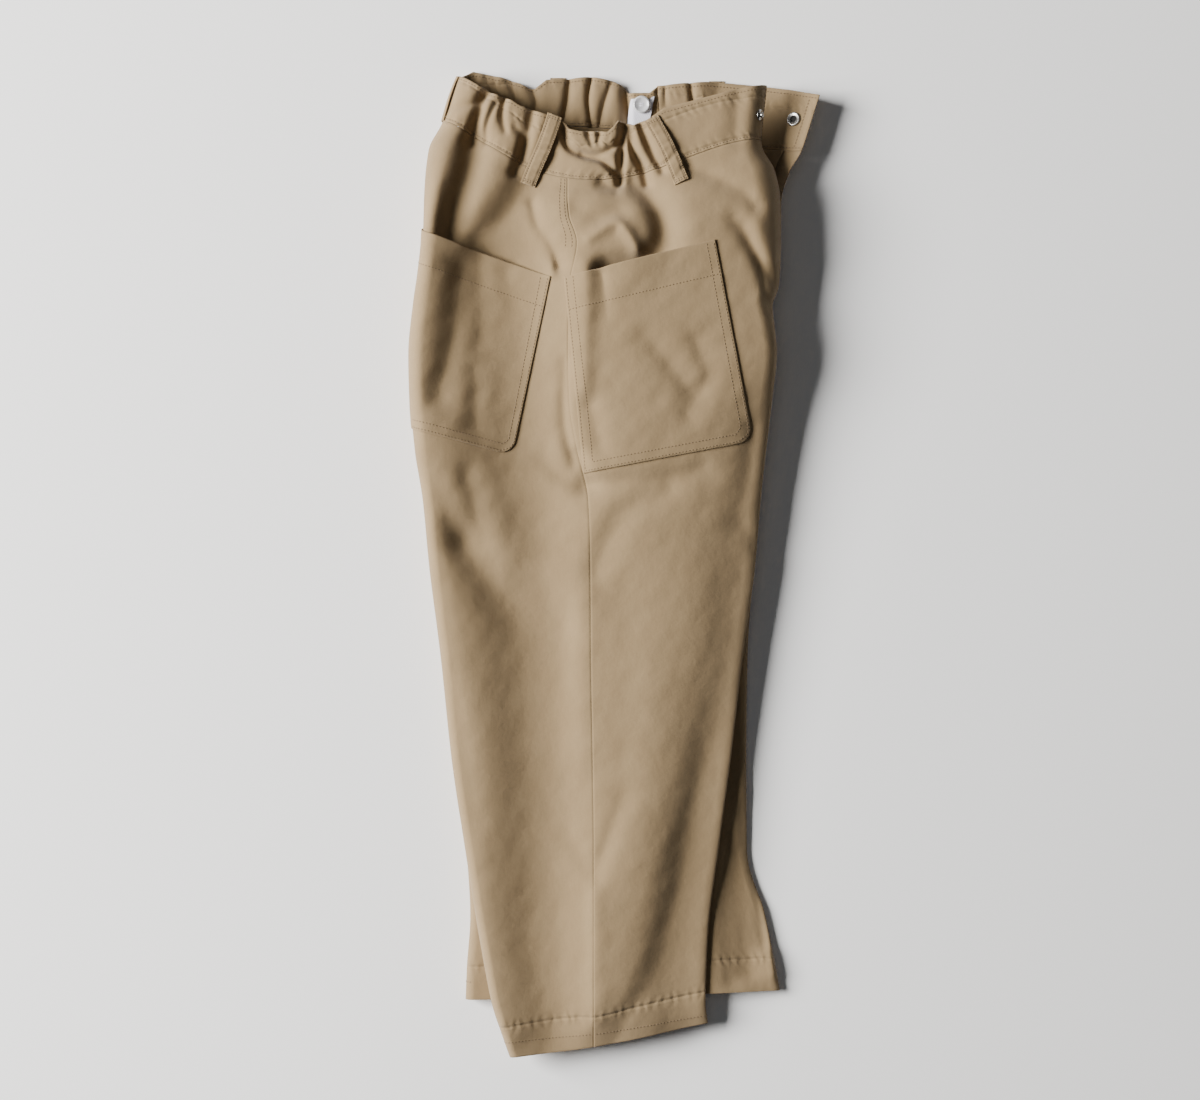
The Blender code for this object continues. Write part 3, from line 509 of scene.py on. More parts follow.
class Half:
    """The right or the left half of the trousers, a run of sections from waist to hem."""

    def __init__(self, sections, upper, waist_edge, folds=()):
        self.upper = upper
        self.inward = -1.0 if upper else 1.0
        self.folds = folds
        self.waist_edge = waist_edge
        self.last = len(sections) - 1
        self.columns = {}
        for field in Section._fields[1:]:
            values = [float(getattr(section, field)) for section in sections]
            self.columns[field] = (np.array(values), np.array(monotone_slopes(values)))

    def value(self, field, t):
        values, slopes = self.columns[field]
        row = np.clip(np.floor(t).astype(int), 0, self.last - 1)
        u = t - row
        first = values[row] * (1 + 2 * u) * (1 - u) ** 2 + slopes[row] * u * (1 - u) ** 2
        return first + values[row + 1] * u * u * (3 - 2 * u) + slopes[row + 1] * u * u * (u - 1)

    def base(self, t):
        return self.value("base", t) + SEAM_GAP / 2

    def under(self, t, side):
        front, back = self.value("under_front", t), self.value("under_back", t)
        return np.where(side > 0, front, back)

    def edge_turn(self, t, side):
        """How far round the ring a panel reaches: 1 is the middle of the fold."""
        under = self.under(t, side)
        turned = np.minimum(under, 1.0)
        angle = np.arcsin(turned / (2.0 - turned))
        past = UNDER_SHARE * np.maximum(under - 1.0, 0.0)
        return 1.0 + FOLD_SHARE * angle / (math.pi / 2) + past

    def fold_radius(self, t, side):
        turned = np.minimum(1.0, self.under(t, side))
        return (self.value("top", t) - self.base(t)) * (1.0 - turned / 2)

    def plan(self, t, place):
        x = self.value("x_back", t) * (1 - place) + self.value("x_front", t) * place
        y = self.value("y_back", t) * (1 - place) + self.value("y_front", t) * place
        inside = np.clip(place, 0.0, 1.0) ** DIP_SKEW
        sag = np.clip(4 * inside * (1 - inside), 0.0, 1.0) ** DIP_SHARPNESS
        y = y + self.value("dip", t) * sag
        if self.waist_edge:
            top = np.zeros_like(t)
            flat = self.value("y_back", top) * (1 - place) + self.value("y_front", top) * place
            flat = flat + self.value("dip", top) * sag
            edge = np.interp(x, self.waist_edge["x"], self.waist_edge["y"])
            y = y + (edge - flat) * np.clip(1.0 - t, 0.0, 1.0)
        return x, y

    def width(self, t):
        return self.value("x_front", t) - self.value("x_back", t)

    def surface(self, t, w, split=None):
        """Points of the outer face, in millimetres: w is 0 at the split, 1 or -1 at a fold."""
        t, w = np.broadcast_arrays(np.asarray(t, float), np.asarray(w, float))
        side = np.where(w >= 0, 1.0, -1.0)
        turn = np.abs(w)
        width = self.width(t)
        split_x = self.value("outseam", t) if split is None else split(t)
        split_place = (split_x - self.value("x_back", t)) / width
        fold_place = np.where(side > 0, 1.0, 0.0)
        radius = self.fold_radius(t, side)
        base, top = self.base(t), self.value("top", t)
        centre = top - radius
        round_start = fold_place - side * radius / width
        angle = np.clip((turn - 1.0) / FOLD_SHARE, -1.0, 1.0) * math.pi / 2
        on_top = turn <= TOP_SHARE
        past = np.maximum(turn - 1.0 - FOLD_SHARE, 0.0) / UNDER_SHARE
        place = np.where(on_top, split_place + (round_start - split_place) * turn / TOP_SHARE,
                         round_start + side * radius / width * np.cos(angle))
        place = place + (INSEAM_PLACE - round_start) * past
        z = np.where(on_top, top, centre - radius * np.sin(angle))
        ramp = np.where(side > 0, self.value("ramp", t), 0.0)
        ramp_start = 1.0 - FLY_REACH / width
        part = np.clip((turn - TOP_SHARE) / (1.0 - TOP_SHARE), 0.0, None)
        along = np.minimum(1.0, turn / TOP_SHARE)
        ramp_place = split_place + (ramp_start - split_place) * along + part * FLY_REACH / width
        place = place * (1 - ramp) + ramp_place * ramp
        z = z * (1 - ramp) + (top - (top - base) * part * part) * ramp
        x, y = self.plan(t, place)
        standing = np.clip((z - base) / (top - base), 0.0, 1.0)
        if self.upper:
            rise = self.relief_above(t, place, x, y)
            z = z + within(rise, top - base) * standing
        else:
            z = 2 * self.value("base", t) - z
            z = z + within(self.leg_below(t, x, y), top - base) * (1.0 - standing)
            z = np.maximum(z + self.band_below(t, turn, x, y), FLOOR_CLEAR)
        return np.stack([x, y, z], axis=-1)

    def relief_above(self, t, place, x, y):
        """Crown, folds and small waves of the upper face."""
        rise = CROWN * np.sin(math.pi * np.clip(place, 0, 1)) * smooth(t, *CROWN_ROWS)
        edge = (1.0 - place) * self.width(t)
        rise = rise - EDGE_FALL * np.exp(-edge / EDGE_FALL_WIDTH) * smooth(t, *EDGE_FALL_ROWS)
        for fold in self.folds:
            rise = rise - fold_depth(fold, x, y)
        for height, size, seed in RIPPLES:
            rise = rise + height * ripple(x, y, size, seed)
        return rise

    def leg_below(self, t, x, y):
        """The folds that show on the lower leg, by its front edge and hem."""
        rise = np.zeros_like(x)
        for fold in LOW_LEG_FOLDS:
            rise = rise - fold_depth(fold, x, y)
        return rise * smooth(t, *LOW_LEG_ROWS)

    def band_below(self, t, turn, x, y):
        """The gathers of the lower band, which lies lower by the back fold."""
        band = 1.0 - smooth(t, *LOW_BAND_ROWS)
        gathered = (1.0 - smooth(x, *LOW_GATHER_X)) * (1.0 - smooth(turn, *LOW_GATHER_TURN))
        window = smooth(x, *TAPE_FLAT[:2]) * (1.0 - smooth(x, *TAPE_FLAT[2:]))
        rise = LOW_BAND_RISE * band * gathered * smooth(x, *LOW_BAND_RISE_X)
        for fold in LOW_BAND_FOLDS:
            rise = rise - fold_depth(fold, x, y) * band * gathered * (1.0 - window)
        return rise

    def normals(self, t, w, split=None):
        """Directions out of the cloth."""
        low = np.clip(t - ROW_STEP, 0.0, self.last)
        high = np.clip(t + ROW_STEP, 0.0, self.last)
        down = self.surface(high, w, split) - self.surface(low, w, split)
        across = self.surface(t, w + TURN_STEP, split) - self.surface(t, w - TURN_STEP, split)
        out = np.cross(down, across) if self.upper else np.cross(across, down)
        return out / np.linalg.norm(out, axis=-1, keepdims=True)

    def locate(self, x, y):
        """t and w of places measured on the cloth, past the folds too."""
        x, y = np.broadcast_arrays(np.asarray(x, float), np.asarray(y, float))
        low = np.zeros_like(x)
        high = np.full_like(x, self.last)
        for _ in range(SEARCH_STEPS):
            t = (low + high) / 2
            place = np.clip((x - self.value("x_back", t)) / self.width(t), 0.0, 1.0)
            above = self.plan(t, place)[1] > y
            low = np.where(above, t, low)
            high = np.where(above, high, t)
        split_x = self.value("outseam", t)
        side = np.where(x > split_x, 1.0, -1.0)
        fold_x = np.where(side > 0, self.value("x_front", t), self.value("x_back", t))
        radius = self.fold_radius(t, side)
        ramp = np.where(side > 0, self.value("ramp", t), 0.0)
        start = fold_x - side * (radius * (1 - ramp) + FLY_REACH * ramp)
        past = side * (x - start)
        flat = TOP_SHARE * (x - split_x) / (start - split_x)
        bent = TOP_SHARE + FOLD_SHARE * past / radius / (math.pi / 2)
        return t, side * np.where(past <= 0, flat, bent)


right = Half(RIGHT_SECTIONS, True, WAIST_EDGE_RIGHT, BAND_FOLDS + BODY_FOLDS + PANEL_FOLDS
             + POCKET_FOLDS)
left = Half(LEFT_SECTIONS, False, WAIST_EDGE_LEFT)


def run_length(points, axis):
    """Distance along a grid of points from its first row or column."""
    steps = np.linalg.norm(np.diff(points, axis=axis), axis=-1)
    first = np.zeros_like(np.take(steps, [0], axis=axis))
    return np.concatenate([first, np.cumsum(steps, axis=axis)], axis=axis)


def piece_of(bm, name, material):
    """Makes an object of a mesh and its material."""
    mesh = bpy.data.meshes.new(name)
    bm.to_mesh(mesh)
    bm.free()
    mesh.materials.append(material)
    piece = bpy.data.objects.new(name, mesh)
    bpy.context.scene.collection.objects.link(piece)
    return piece


def wear(piece, slot, *nodes):
    """The piece lies with the garment and stands for CAD nodes."""
    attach(piece, "root")
    if nodes:
        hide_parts(*nodes)


def cloth_piece(name, columns, rows, place, material, wall, inward,
                slot="cotton_twill", from_far=False):
    """A sheet of cloth: a grid is laid out by place, mapped in metres and given its wall.

    u runs across the piece and v from its lower edge to its upper one. from_far measures
    the map's u from the far edge.
    """
    bm = bmesh.new()
    bmesh.ops.create_grid(bm, x_segments=columns, y_segments=rows, size=0.5)
    piece = piece_of(bm, name, material)
    mesh = piece.data
    count = (columns + 1) * (rows + 1)
    spots = np.empty(count * 3)
    mesh.vertices.foreach_get("co", spots)
    spots = spots.reshape(-1, 3)
    i = np.rint((spots[:, 0] + 0.5) * columns).astype(int)
    j = np.rint((spots[:, 1] + 0.5) * rows).astype(int)
    u, v = np.meshgrid(np.arange(columns + 1) / columns, np.arange(rows + 1) / rows)
    points = place(u, v) * MM
    mesh.vertices.foreach_set("co", points[j, i].ravel())
    across = run_length(points, 1)
    if from_far:
        across = across[:, -1:] - across
    upward = run_length(points, 0)
    corner = np.empty(len(mesh.loops), int)
    mesh.loops.foreach_get("vertex_index", corner)
    cut = mesh.uv_layers.new(name="cut")
    pairs = np.stack([across[j, i][corner], upward[j, i][corner]], axis=-1)
    cut.data.foreach_set("uv", pairs.ravel())
    mesh.shade_smooth()
    mesh.update()
    solid = piece.modifiers.new("wall", "SOLIDIFY")
    solid.thickness = wall * MM
    solid.offset = inward
    solid.use_rim = True
    even = piece.modifiers.new("even edges", "WEIGHTED_NORMAL")
    even.weight = 100
    wear(piece, slot, name)


HEM_DEPTH = 0.030
CLOTH_WALL = 0.8
BAND_TOP, BAND_BOTTOM, PANEL_TOP = 0.0, 0.996, 1.006
SPLIT_GAP, EDGE_GAP = 0.0004, 0.0011
panel_cloth = twill("panel_twill", along=(HEM_DEPTH,))


def length_place(half, side, top, bottom, start, split=None):
    """Lays a length between its start and its far edge, from bottom (v 0) to top (v 1)."""
    def place(u, v):
        t = top + (bottom - top) * (1.0 - v)
        end = half.edge_turn(t, side) - EDGE_GAP
        share = u if side > 0 else 1.0 - u
        return half.surface(t, side * (start + (end - start) * share), split)
    return place


def panel_place(half, side):
    return length_place(half, side, PANEL_TOP, half.last, SPLIT_GAP)


PANELS = [
    ("panel_front_right", right, 1, 150, 230),
    ("panel_back_right", right, -1, 150, 230),
    ("panel_front_left", left, 1, 90, 150),
    ("panel_back_left", left, -1, 90, 150),
]
for name, half, side, columns, rows in PANELS:
    cloth_piece(name, columns, rows, panel_place(half, side), panel_cloth, CLOTH_WALL,
                half.inward, from_far=side < 0)


# Waistband
# A straight band of doubled twill, 42 to 49 mm deep, flat over the fronts and gathered on
# elastic round the back. The left front end runs on past the fly to carry the snap.
BAND_DEPTH = 0.042
BAND_EDGE_ROW = 0.003
BAND_WALL = 1.3
band_cloth = twill("band_twill", along=(BAND_EDGE_ROW, BAND_DEPTH - BAND_EDGE_ROW))


def band_place(half, side):
    top_x, seam_x = (30.0, 56.0) if half.upper else (36.0, 40.0)
    return length_place(half, side, BAND_TOP, BAND_BOTTOM, EDGE_GAP,
                        lambda t: top_x + (seam_x - top_x) * np.minimum(1.0, t))


BANDS = [
    ("waistband_front_right", right, 1, 90, 26),
    ("waistband_back_right", right, -1, 220, 30),
    ("waistband_front_left", left, 1, 90, 26),
    ("waistband_back_left", left, -1, 200, 28),
]
for name, half, side, columns, rows in BANDS:
    flat, held = ((0.13, 0.045), "laid") if side > 0 else ((0.22, 0.045), "gathered")
    cloth_piece(name, columns, rows, band_place(half, side), band_cloth, BAND_WALL,
                half.inward)


# Patch pockets
# Two patch pockets of the same twill lie on the right leg, with a 30 mm hem at the mouth,
# a rounded lower corner and two rows of stitching round the sewn edges.
POCKET_WIDTH, POCKET_HEIGHT = 0.142, 0.178
POCKET_HEM = 0.030
POCKET_CORNER = 14.0
POCKET_LIFT, POCKET_CLEAR = 1.25, 1.05
SEWN_SHARE, SEWN_FOOT = 0.14, 0.1
pocket_cloth = twill("pocket_twill")


def pocket_outline(top_out, top_in, bottom_out, bottom_in):
    """Places on the cloth for shares p across and q down, with the inner corner rounded."""
    top_out, top_in, bottom_out, bottom_in = (
        np.array(point, float) for point in (top_out, top_in, bottom_out, bottom_in))
    height = top_in[1] - bottom_in[1]

    def outline(p, q):
        outer = top_out + (bottom_out - top_out) * q[..., None]
        inner = top_in + (bottom_in - top_in) * q[..., None]
        above = np.clip(POCKET_CORNER - (1.0 - q) * height, 0.0, POCKET_CORNER)
        cut = POCKET_CORNER - np.sqrt(np.maximum(POCKET_CORNER ** 2 - above ** 2, 0.0))
        run = outer - inner
        inner = inner + run / np.linalg.norm(run, axis=-1, keepdims=True) * cut[..., None]
        spot = outer + (inner - outer) * p[..., None]
        return spot[..., 0], spot[..., 1]
    return outline


def gaping(middle, spread, reach, height):
    """How far a pocket's mouth stands off the panel."""
    def gape(p, q):
        mouth = np.exp(-(((p - middle) / spread) ** 2)) * (1.0 - smooth(q, 0.0, reach))
        return height * mouth
    return gape


pocket_ground = Half(RIGHT_SECTIONS, True, WAIST_EDGE_RIGHT, BODY_FOLDS + POCKET_FOLDS)


def laid_place(outline, gape):
    """Lays a pocket on the right leg, from its lower edge (v 0) to its mouth (v 1).

    Its sewn edges follow the panel and its middle lies on calmer ground.
    """
    def place(u, v):
        q = 1.0 - v
        x, y = outline(u, q)
        t, w = pocket_ground.locate(x, y)
        normals = pocket_ground.normals(t, w)
        panel = right.surface(t, w)
        free = smooth(u, 0.0, SEWN_SHARE) * smooth(1.0 - u, 0.0, SEWN_SHARE)
        free = free * smooth(1.0 - q, 0.0, SEWN_FOOT)
        points = panel + (pocket_ground.surface(t, w) - panel) * free[..., None]
        points = points + normals * (POCKET_LIFT + gape(u, q))[..., None]
        panel = panel + normals * POCKET_CLEAR
        points[..., 2] = np.maximum(points[..., 2], panel[..., 2])
        return points
    return place


def speckled(name, roughness, scale, deep, light, metallic=0.0):
    """A finish whose colour wanders between two tones, and the noise that it follows."""
    finish = Finish(name, roughness, metallic)
    speck = finish.noise(finish.spot(), scale)
    finish.feed("Base Color", finish.blend(speck, deep, light))
    return finish, speck


# The thread is khaki like the cloth; its two tones are set darker than the cloth as painted shade of
# the dents that the stitches sit in.
THREAD_SHADED_LIGHT = (0.21, 0.145, 0.080, 1.0)
THREAD_SHADED_DEEP = (0.14, 0.095, 0.050, 1.0)
thread = speckled("thread", 0.7, 400.0, THREAD_SHADED_DEEP, THREAD_SHADED_LIGHT)[0].material
STITCH_WIDTH, STITCH_HEIGHT = 0.95, 0.76
LINE_PROBES = 60
AHEAD, FACE_STEP = 0.4, 0.004


def sewing(name, rows, pitch=3.1, length=2.3):
    """Rows of stitches as one mesh. A row is a place function, its facing and a u, v line."""
    stitch = bmesh.new()
    bmesh.ops.create_uvsphere(stitch, u_segments=6, v_segments=4, radius=0.5)
    shape = bpy.data.meshes.new("stitch")
    bm = bmesh.new()
    for place, facing, line in rows:
        line = np.array(line, float)
        corners = np.arange(len(line))
        share = np.linspace(0.0, len(line) - 1.0, LINE_PROBES * len(line))
        line_u, line_v = (np.interp(share, corners, line[:, axis]) for axis in (0, 1))
        run = run_length(place(line_u, line_v), 0)
        at = (np.arange(int(run[-1] / pitch)) + 0.5) * pitch
        u, v = np.interp(at, run, line_u), np.interp(at, run, line_v)
        here = place(u, v)
        ahead = place(np.interp(at + AHEAD, run, line_u), np.interp(at + AHEAD, run, line_v))
        out = np.cross(place(u + FACE_STEP, v) - place(u - FACE_STEP, v),
                       place(u, v + FACE_STEP) - place(u, v - FACE_STEP)) * facing
        for spot, run_on, up in zip(here, ahead - here, out):
            forward = Vector(run_on).normalized()
            up = Vector(up).normalized()
            across = up.cross(forward).normalized()
            turn = Matrix((forward * length, across * STITCH_WIDTH, up * STITCH_HEIGHT))
            move = Matrix.Translation(Vector(spot) * MM) @ (turn.transposed() * MM).to_4x4()
            stitch.to_mesh(shape)
            shape.transform(move)
            bm.from_mesh(shape, face_normals=False, vertex_normals=False)
    stitch.free()
    piece = piece_of(bm, name, thread)
    piece.data.shade_smooth()
    wear(piece, "cotton_twill")


def edge_row(place, inset, sides):
    """A row at an inset from a pocket's sewn edges: down one side, round and up the other."""
    near_u = inset * MM / POCKET_WIDTH
    near_v = inset * MM / POCKET_HEIGHT
    corner = 0.4 * POCKET_CORNER * MM / POCKET_HEIGHT
    line = [(near_u, 0.995), (near_u, near_v)] if "outer" in sides else [(0.13, near_v)]
    line += [(1.0 - near_u - corner, near_v), (1.0 - near_u, near_v + corner)]
    line += [(1.0 - near_u, 0.995)]
    return (place, 1, line)


POCKETS = [
    ("pocket_front_right", ((-48, 255), (86.4, 288), (-31, 80), (121, 109)),
     (0.45, 0.2, 0.22, 4.5), ("outer", "inner")),
    ("pocket_back_right", ((-198, 304), (-60.3, 256), (-198, 123), (-95, 96)),
     (0.5, 0.3, 0.12, 1.8), ("inner",)),
]
mouth_line = 1.0 - POCKET_HEM / POCKET_HEIGHT
for name, corners, gape, sides in POCKETS:
    place = laid_place(pocket_outline(*corners), gaping(*gape))
    cloth_piece(name, 120, 140, place, pocket_cloth, CLOTH_WALL, -1.0)
    rows = [edge_row(place, 2.0, sides), edge_row(place, 8.5, sides)]
    rows.append((place, 1, [(0.01, mouth_line), (0.99, mouth_line)]))
    sewing(name + "_stitches", rows)


# Topstitching
# Two rows hold the outseam's allowance on the back panel down to the pockets, one row each
# the waistband's edges and the hems, all in khaki thread at about eight stitches in 25 mm.
SEAM_ROWS = (2.7, 6.5)
BACK_WIDTH = 148.0
PANEL_LENGTH = 0.85
BAND_STITCH_ROWS = (0.07, 0.93)
BAND_END_ROW = 0.965


def band_lines(place, facing):
    """Rows along both edges of a band length."""
    return [(place, facing, [(0.005, level), (0.995, level)]) for level in BAND_STITCH_ROWS]


def band_end_line(place, facing):
    return (place, facing, [(BAND_END_ROW, level) for level in BAND_STITCH_ROWS])


seam_rows = []
for inset in SEAM_ROWS:
    share = 1.0 - inset / BACK_WIDTH
    seam_rows.append((panel_place(right, -1), -1, [(share, 0.998), (share, 0.815)]))
sewing("outseam_stitches", seam_rows)

hem_rows = []
hem_level = HEM_DEPTH / PANEL_LENGTH
for half, facing in ((right, 1), (left, -1)):
    hem_rows.append((panel_place(half, 1), facing, [(0.004, hem_level), (0.72, hem_level)]))
    hem_rows.append((panel_place(half, -1), facing, [(0.28, hem_level), (0.996, hem_level)]))
sewing("hem_stitches", hem_rows)

band_rows = []
for half, facing in ((right, 1), (left, -1)):
    band_rows += band_lines(band_place(half, 1), facing)
    band_rows += band_lines(band_place(half, -1), facing)
    band_rows.append(band_end_line(band_place(half, 1), facing))
sewing("band_stitches", band_rows)


# Inner side of the lower band
# The left band's inner face shows in the waist and past the fly. Its rows are the other side
# of the band's own stitching, laid on a face one wall further in.
INNER_FACE = 1.45


def inner_band(side):
    """The inner face of a length of the left band."""
    outer = band_place(left, side)

    def place(u, v):
        u, v = np.broadcast_arrays(np.asarray(u, float), np.asarray(v, float))
        right_of, left_of = np.minimum(u + TURN_STEP, 1.0), np.maximum(u - TURN_STEP, 0.0)
        above, below = np.minimum(v + TURN_STEP, 1.0), np.maximum(v - TURN_STEP, 0.0)
        normal = np.cross(outer(right_of, v) - outer(left_of, v), outer(u, above) - outer(u, below))
        normal = normal / np.linalg.norm(normal, axis=-1, keepdims=True)
        return outer(u, v) + normal * INNER_FACE
    return place


inner_rows = band_lines(inner_band(1), 1) + band_lines(inner_band(-1), 1)
inner_rows.append(band_end_line(inner_band(1), 1))
sewing("inner_band_stitches", inner_rows)


# Belt loops
# Strips of twill folded to 14 mm, stitched along both edges and tacked down at both ends.
# Two stand on the upper band, two lie under the lower one and one goes round the back fold.
LOOP_WIDTH = 14.0
LOOP_SEAT, LOOP_LIFT = 1.5, 2.6
LOOP_EDGE_FALL = 0.6
LOOP_SWAY, LOOP_SWAY_RATE = 0.9, 5.0
CREASE_DEPTH, CREASE_WIDTH = 0.9, 0.05
LOOP_KNOTS, LOOP_PROBES = 13, 5
loop_cloth = twill("loop_twill", across=(0.0018, 0.0122))
STANDING_LOOPS = [
    ("belt_loop_side_right", (-56.5, 401.0), (-80.0, 338.5), (0.5, 0.86)),
    ("belt_loop_front_right", (30.5, 398.0), (57.5, 340.5), (0.62, 0.88)),
]


def standing_place(top, bottom, creases):
    """Lays a loop over the right half: it bridges the folds and arches off the band."""
    top, bottom = np.array(top), np.array(bottom)
    run = bottom - top
    half_width = LOOP_WIDTH / 2
    across = np.array((-run[1], run[0])) / np.linalg.norm(run) * LOOP_WIDTH / 2
    knots = np.linspace(0.0, 1.0, LOOP_KNOTS)
    probes = np.linspace(-1.0, 1.0, LOOP_PROBES)
    crests = []
    for knot in knots:
        spots = top + run * knot + across * probes[:, None]
        t, w = right.locate(spots[:, 0], spots[:, 1])
        crests.append(right.surface(t, w)[:, 2].max())
    crests = np.array(crests)
    for _ in range(3):
        calm = np.convolve(np.pad(crests, 1, mode="edge"), np.ones(3) / 3, mode="valid")
        crests = np.maximum(crests, calm)

    def place(u, v):
        q = 1.0 - v
        p = 2.0 * u - 1.0
        sway = LOOP_SWAY * np.sin(LOOP_SWAY_RATE * q + top[0]) / half_width
        x = top[0] + run[0] * q + (p + sway) * across[0]
        y = top[1] + run[1] * q + (p + sway) * across[1]
        z = np.interp(q, knots, crests) + LOOP_SEAT + LOOP_LIFT * np.sin(math.pi * q)
        z = z - LOOP_EDGE_FALL * np.abs(p) ** 4
        for crease in creases:
            near = (q - crease + 0.05 * p) / CREASE_WIDTH
            z = z - CREASE_DEPTH * np.exp(-near ** 2)
        return np.stack(np.broadcast_arrays(x, y, z), axis=-1)
    return place


for name, top, bottom, creases in STANDING_LOOPS:
    place = standing_place(top, bottom, creases)
    cloth_piece(name, 20, 90, place, loop_cloth, 1.2, -1.0)
    rows = [(place, 1, [(edge, 0.01), (edge, 0.99)]) for edge in (0.13, 0.87)]
    rows += [(place, 1, [(0.12, level), (0.88, level)]) for level in (0.035, 0.06, 0.94, 0.965)]
    sewing(name + "_stitches", rows, pitch=2.4, length=1.9)

FLAT_LOOPS = [
    ("belt_loop_side_left", -54.5, 441.0, 386.0),
    ("belt_loop_front_left", 90.0, 438.0, 383.0),
]


def flat_place(middle, top_y, bottom_y):
    """Lays a loop on the floor, under the lower band."""
    def place(u, v):
        p = 2.0 * u - 1.0
        x = middle + p * LOOP_WIDTH / 2
        y = bottom_y + (top_y - bottom_y) * v
        z = 0.35 + 0.25 * np.sin(math.pi * v) * (1.0 - np.abs(p) ** 4)
        return np.stack(np.broadcast_arrays(x, y, z), axis=-1)
    return place


for name, middle, top_y, bottom_y in FLAT_LOOPS:
    place = flat_place(middle, top_y, bottom_y)
    cloth_piece(name, 12, 40, place, loop_cloth, 0.5, 0.0)

BACK_LOOP_REACH = 0.09
BACK_LOOP_SEAT, BACK_LOOP_ARCH = 0.9, 1.3


def back_loop_place(u, v):
    """Round the back fold: over the right band for the first half of u, then under the left."""
    t = 0.98 - 0.96 * v
    turn = 1.0 - BACK_LOOP_REACH * np.abs(1.0 - 2.0 * u)
    over = u <= 0.5
    lift = BACK_LOOP_SEAT + BACK_LOOP_ARCH * np.sin(math.pi * t)
    above = right.surface(t, -turn) + right.normals(t, -turn) * lift[..., None]
    below = left.surface(t, -turn) + left.normals(t, -turn) * lift[..., None]
    return np.where(over[..., None], above, below)


cloth_piece("belt_loop_back", 24, 60, back_loop_place, loop_cloth, 1.1, 0.0)


# Fly facing
# A narrow strip of the same twill, sewn to the left fly edge and turned to its inner side,
# where it shows past the upper half.
FACING_DEPTH = 1.9


def behind(half, t, w, depth):
    """Points at a depth behind the outer face."""
    return half.surface(t, w) - half.normals(t, w) * depth


def facing_place(u, v):
    t = 3.0 - 1.985 * v
    w = (0.70 + 0.225 * u) * left.edge_turn(t, 1)
    return behind(left, t, w, FACING_DEPTH)


cloth_piece("fly_facing_left", 40, 50, facing_place, panel_cloth, 0.9, 1.0)


# Elastic tape
# The end of the white woven elastic shows inside the back waist, 18 mm wide, with fine ribs
# along it. Its bare face holds no print.
# The tape is white: its lavender grey tone is painted shade, and the darker lines along the ribs are
# painted shade of the rib grooves.
TAPE_SHADED_WHITE = (0.80, 0.79, 0.86, 1.0)
TAPE_SHADE = (0.62, 0.60, 0.70, 1.0)
tape_finish = Finish("white_elastic", 0.75)
_, tape_u, tape_v = tape_finish.cut()
rib = tape_u.wave(0.0016)
pick = tape_v.wave(0.0011)
tape_finish.feed("Base Color", tape_finish.blend(rib * 0.25 + 0.75, TAPE_SHADE, TAPE_SHADED_WHITE))
tape_finish.emboss(0.7, rib * 0.0001 + pick * 0.00004)
TAPE_LEFT, TAPE_RIGHT, TAPE_MIDDLE = 13.0, 31.5, 414.5
TAPE_TOP, TAPE_BOTTOM = 0.16, 0.99
TAPE_DEPTH = 1.9


def tape_place(u, v):
    t = TAPE_BOTTOM + (TAPE_TOP - TAPE_BOTTOM) * v
    start = left.locate(TAPE_LEFT, TAPE_MIDDLE)[1]
    end = left.locate(TAPE_RIGHT, TAPE_MIDDLE)[1]
    return behind(left, t, start + (end - start) * u, TAPE_DEPTH)


cloth_piece("elastic_tape", 40, 60, tape_place, tape_finish.material, 0.9, 1.0,
            slot="white_elastic")


# Elastic button
# A clear four-hole shirt button, 16 mm across with a raised rim, sewn on with white thread.
BUTTON_PLACE = (21.4, 414.8)
BUTTON_PROFILE = ((0.0, 1.0), (4.6, 1.05), (5.6, 1.9), (6.6, 2.3), (7.6, 1.9), (8.0, 1.1),
                  (7.4, 0.2), (6.0, 0.0), (0.0, 0.0))
BUTTON_SEAT = 1.9
HOLE_REACH, HOLE_RADIUS = 1.5, 0.75
THREAD_RADIUS, THREAD_LENGTH = 0.45, 2.6


def stood_on(base, direction):
    """Moves a piece modelled upright at the origin to its base and direction."""
    turn = Vector((0, 0, 1)).rotation_difference(Vector(direction)).to_matrix().to_4x4()
    return Matrix.Translation(Vector(base) * MM) @ turn


def turned_piece(name, profile, base, direction, material, steps=48):
    """A profile of radius and height spun about the line through base."""
    bm = bmesh.new()
    verts = [bm.verts.new((radius * MM, 0.0, height * MM)) for radius, height in profile]
    edges = [bm.edges.new(pair) for pair in zip(verts, verts[1:])]
    if profile[0][0] > 0:
        edges.append(bm.edges.new((verts[-1], verts[0])))
    bmesh.ops.spin(bm, geom=verts + edges, cent=(0, 0, 0), axis=(0, 0, 1), dvec=(0, 0, 0),
                   angle=TAU, steps=steps, use_merge=True)
    bmesh.ops.remove_doubles(bm, verts=bm.verts, dist=0.00001)
    bmesh.ops.recalc_face_normals(bm, faces=bm.faces)
    bmesh.ops.transform(bm, matrix=stood_on(base, direction), verts=bm.verts)
    piece = piece_of(bm, name, material)
    piece.data.shade_smooth()
    piece.data.set_sharp_from_angle(angle=math.radians(42))
    return piece


clear_finish, _ = speckled("clear_button", 0.16, 300.0, (0.70, 0.70, 0.72, 1), (0.86, 0.86, 0.86, 1))
clear_finish.shader.inputs["Transmission Weight"].default_value = 0.35
clear_finish.shader.inputs["IOR"].default_value = 1.5

button_t, button_w = left.locate(*BUTTON_PLACE)
button_up = -left.normals(button_t, button_w)
button_base = behind(left, button_t, button_w, TAPE_DEPTH + BUTTON_SEAT)
piece = turned_piece("elastic_button", BUTTON_PROFILE, button_base, button_up,
                     clear_finish.material)
wear(piece, "clear_button", "elastic_button")

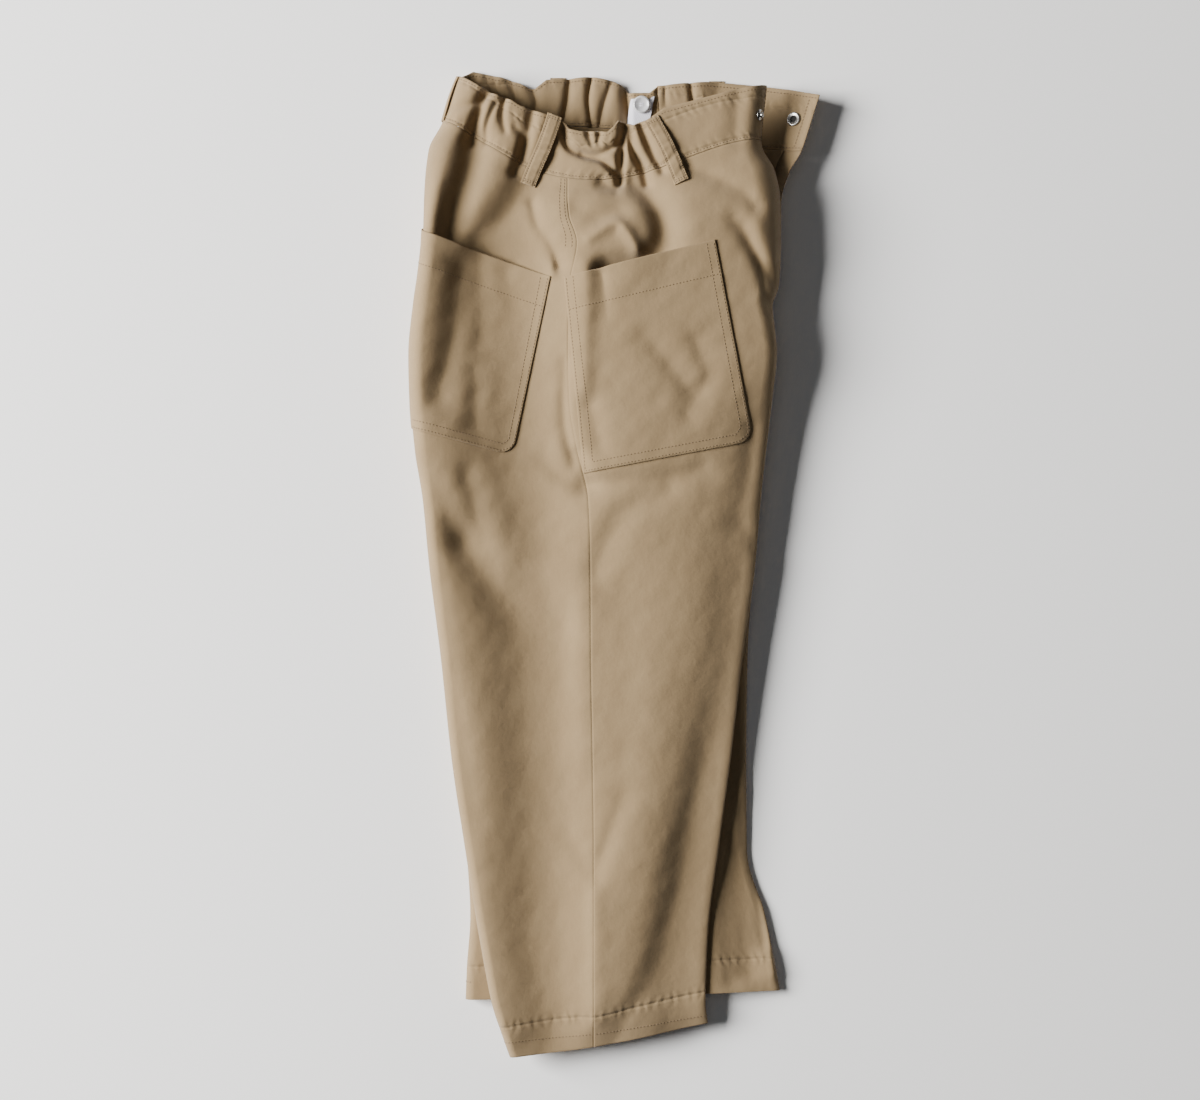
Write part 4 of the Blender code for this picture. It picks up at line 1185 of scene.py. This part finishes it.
bm = bmesh.new()
for corner in range(4):
    angle = math.pi / 4 + corner * math.pi / 2
    spot = Vector((HOLE_REACH * math.cos(angle), HOLE_REACH * math.sin(angle), 1.0)) * MM
    bmesh.ops.create_cone(bm, cap_ends=True, segments=16, radius1=HOLE_RADIUS * MM,
                          radius2=HOLE_RADIUS * MM, depth=0.25 * MM,
                          matrix=Matrix.Translation(spot))
for side in (-1, 1):
    lay = Matrix.Translation(Vector((0.0, side * HOLE_REACH * 0.7, 1.25)) * MM)
    lay = lay @ Matrix.Rotation(math.pi / 2, 4, "Y")
    bmesh.ops.create_cone(bm, cap_ends=True, segments=10, radius1=THREAD_RADIUS * MM,
                          radius2=THREAD_RADIUS * MM, depth=THREAD_LENGTH * MM, matrix=lay)
bmesh.ops.transform(bm, matrix=stood_on(button_base, button_up), verts=bm.verts)
wear(piece_of(bm, "button_thread", tape_finish.material), "white_elastic")


# Ring snap
# A pressed steel ring snap: the socket shows on the inner side of the left band's end, its
# cap lies under it, and the stud stands on the right band's end.
SOCKET_PLACE = (0.44, 0.925)
STUD_PLACE = (0.5, 0.88)
SOCKET_PROFILE = ((2.7, 0.3), (2.9, 1.0), (3.4, 1.35), (4.2, 1.3), (4.9, 1.6), (5.7, 1.65),
                  (6.3, 1.2), (6.5, 0.5), (6.4, 0.0), (2.7, 0.0))
SHADE_DISC_PROFILE = ((0.0, 0.25), (2.8, 0.25), (2.8, 0.0), (0.0, 0.0))
CAP_PROFILE = ((0.0, 1.4), (2.5, 1.35), (5.0, 1.1), (6.4, 0.6), (6.9, 0.0), (0.0, 0.0))
STUD_PROFILE = ((0.0, 3.4), (1.4, 3.3), (2.3, 2.9), (2.5, 2.2), (2.2, 1.1), (3.0, 0.9),
                (4.4, 0.8), (5.0, 0.3), (5.0, 0.0), (0.0, 0.0))
steel_finish, wear_noise = speckled(
    "snap_steel", 0.28, 700.0, (0.24, 0.23, 0.215, 1), (0.50, 0.49, 0.47, 1), metallic=1.0)
steel_finish.feed("Roughness", wear_noise * 0.25 + 0.18)
steel = steel_finish.material
# A near-black disc at the bottom of the socket's hole is painted shade.
hollow = speckled(
    "snap_painted_shade", 0.8, 500.0, (0.012, 0.011, 0.010, 1), (0.03, 0.028, 0.025, 1))[0].material
SNAP_PIECES = [
    ("snap_socket", SOCKET_PROFILE, left, SOCKET_PLACE, -1.75, steel),
    ("snap_socket_shade_disc", SHADE_DISC_PROFILE, left, SOCKET_PLACE, -1.75, hollow),
    ("snap_cap", CAP_PROFILE, left, SOCKET_PLACE, 0.2, steel),
    ("snap_stud", STUD_PROFILE, right, STUD_PLACE, 0.2, steel),
]
for name, profile, half, place, lift, material in SNAP_PIECES:
    out = half.normals(*place)
    base = behind(half, *place, -lift)
    piece = turned_piece(name, profile, base, out * math.copysign(1.0, lift), material)
    stands_for = () if name == "snap_socket_shade_disc" else (name,)
    wear(piece, "snap_steel", *stands_for)
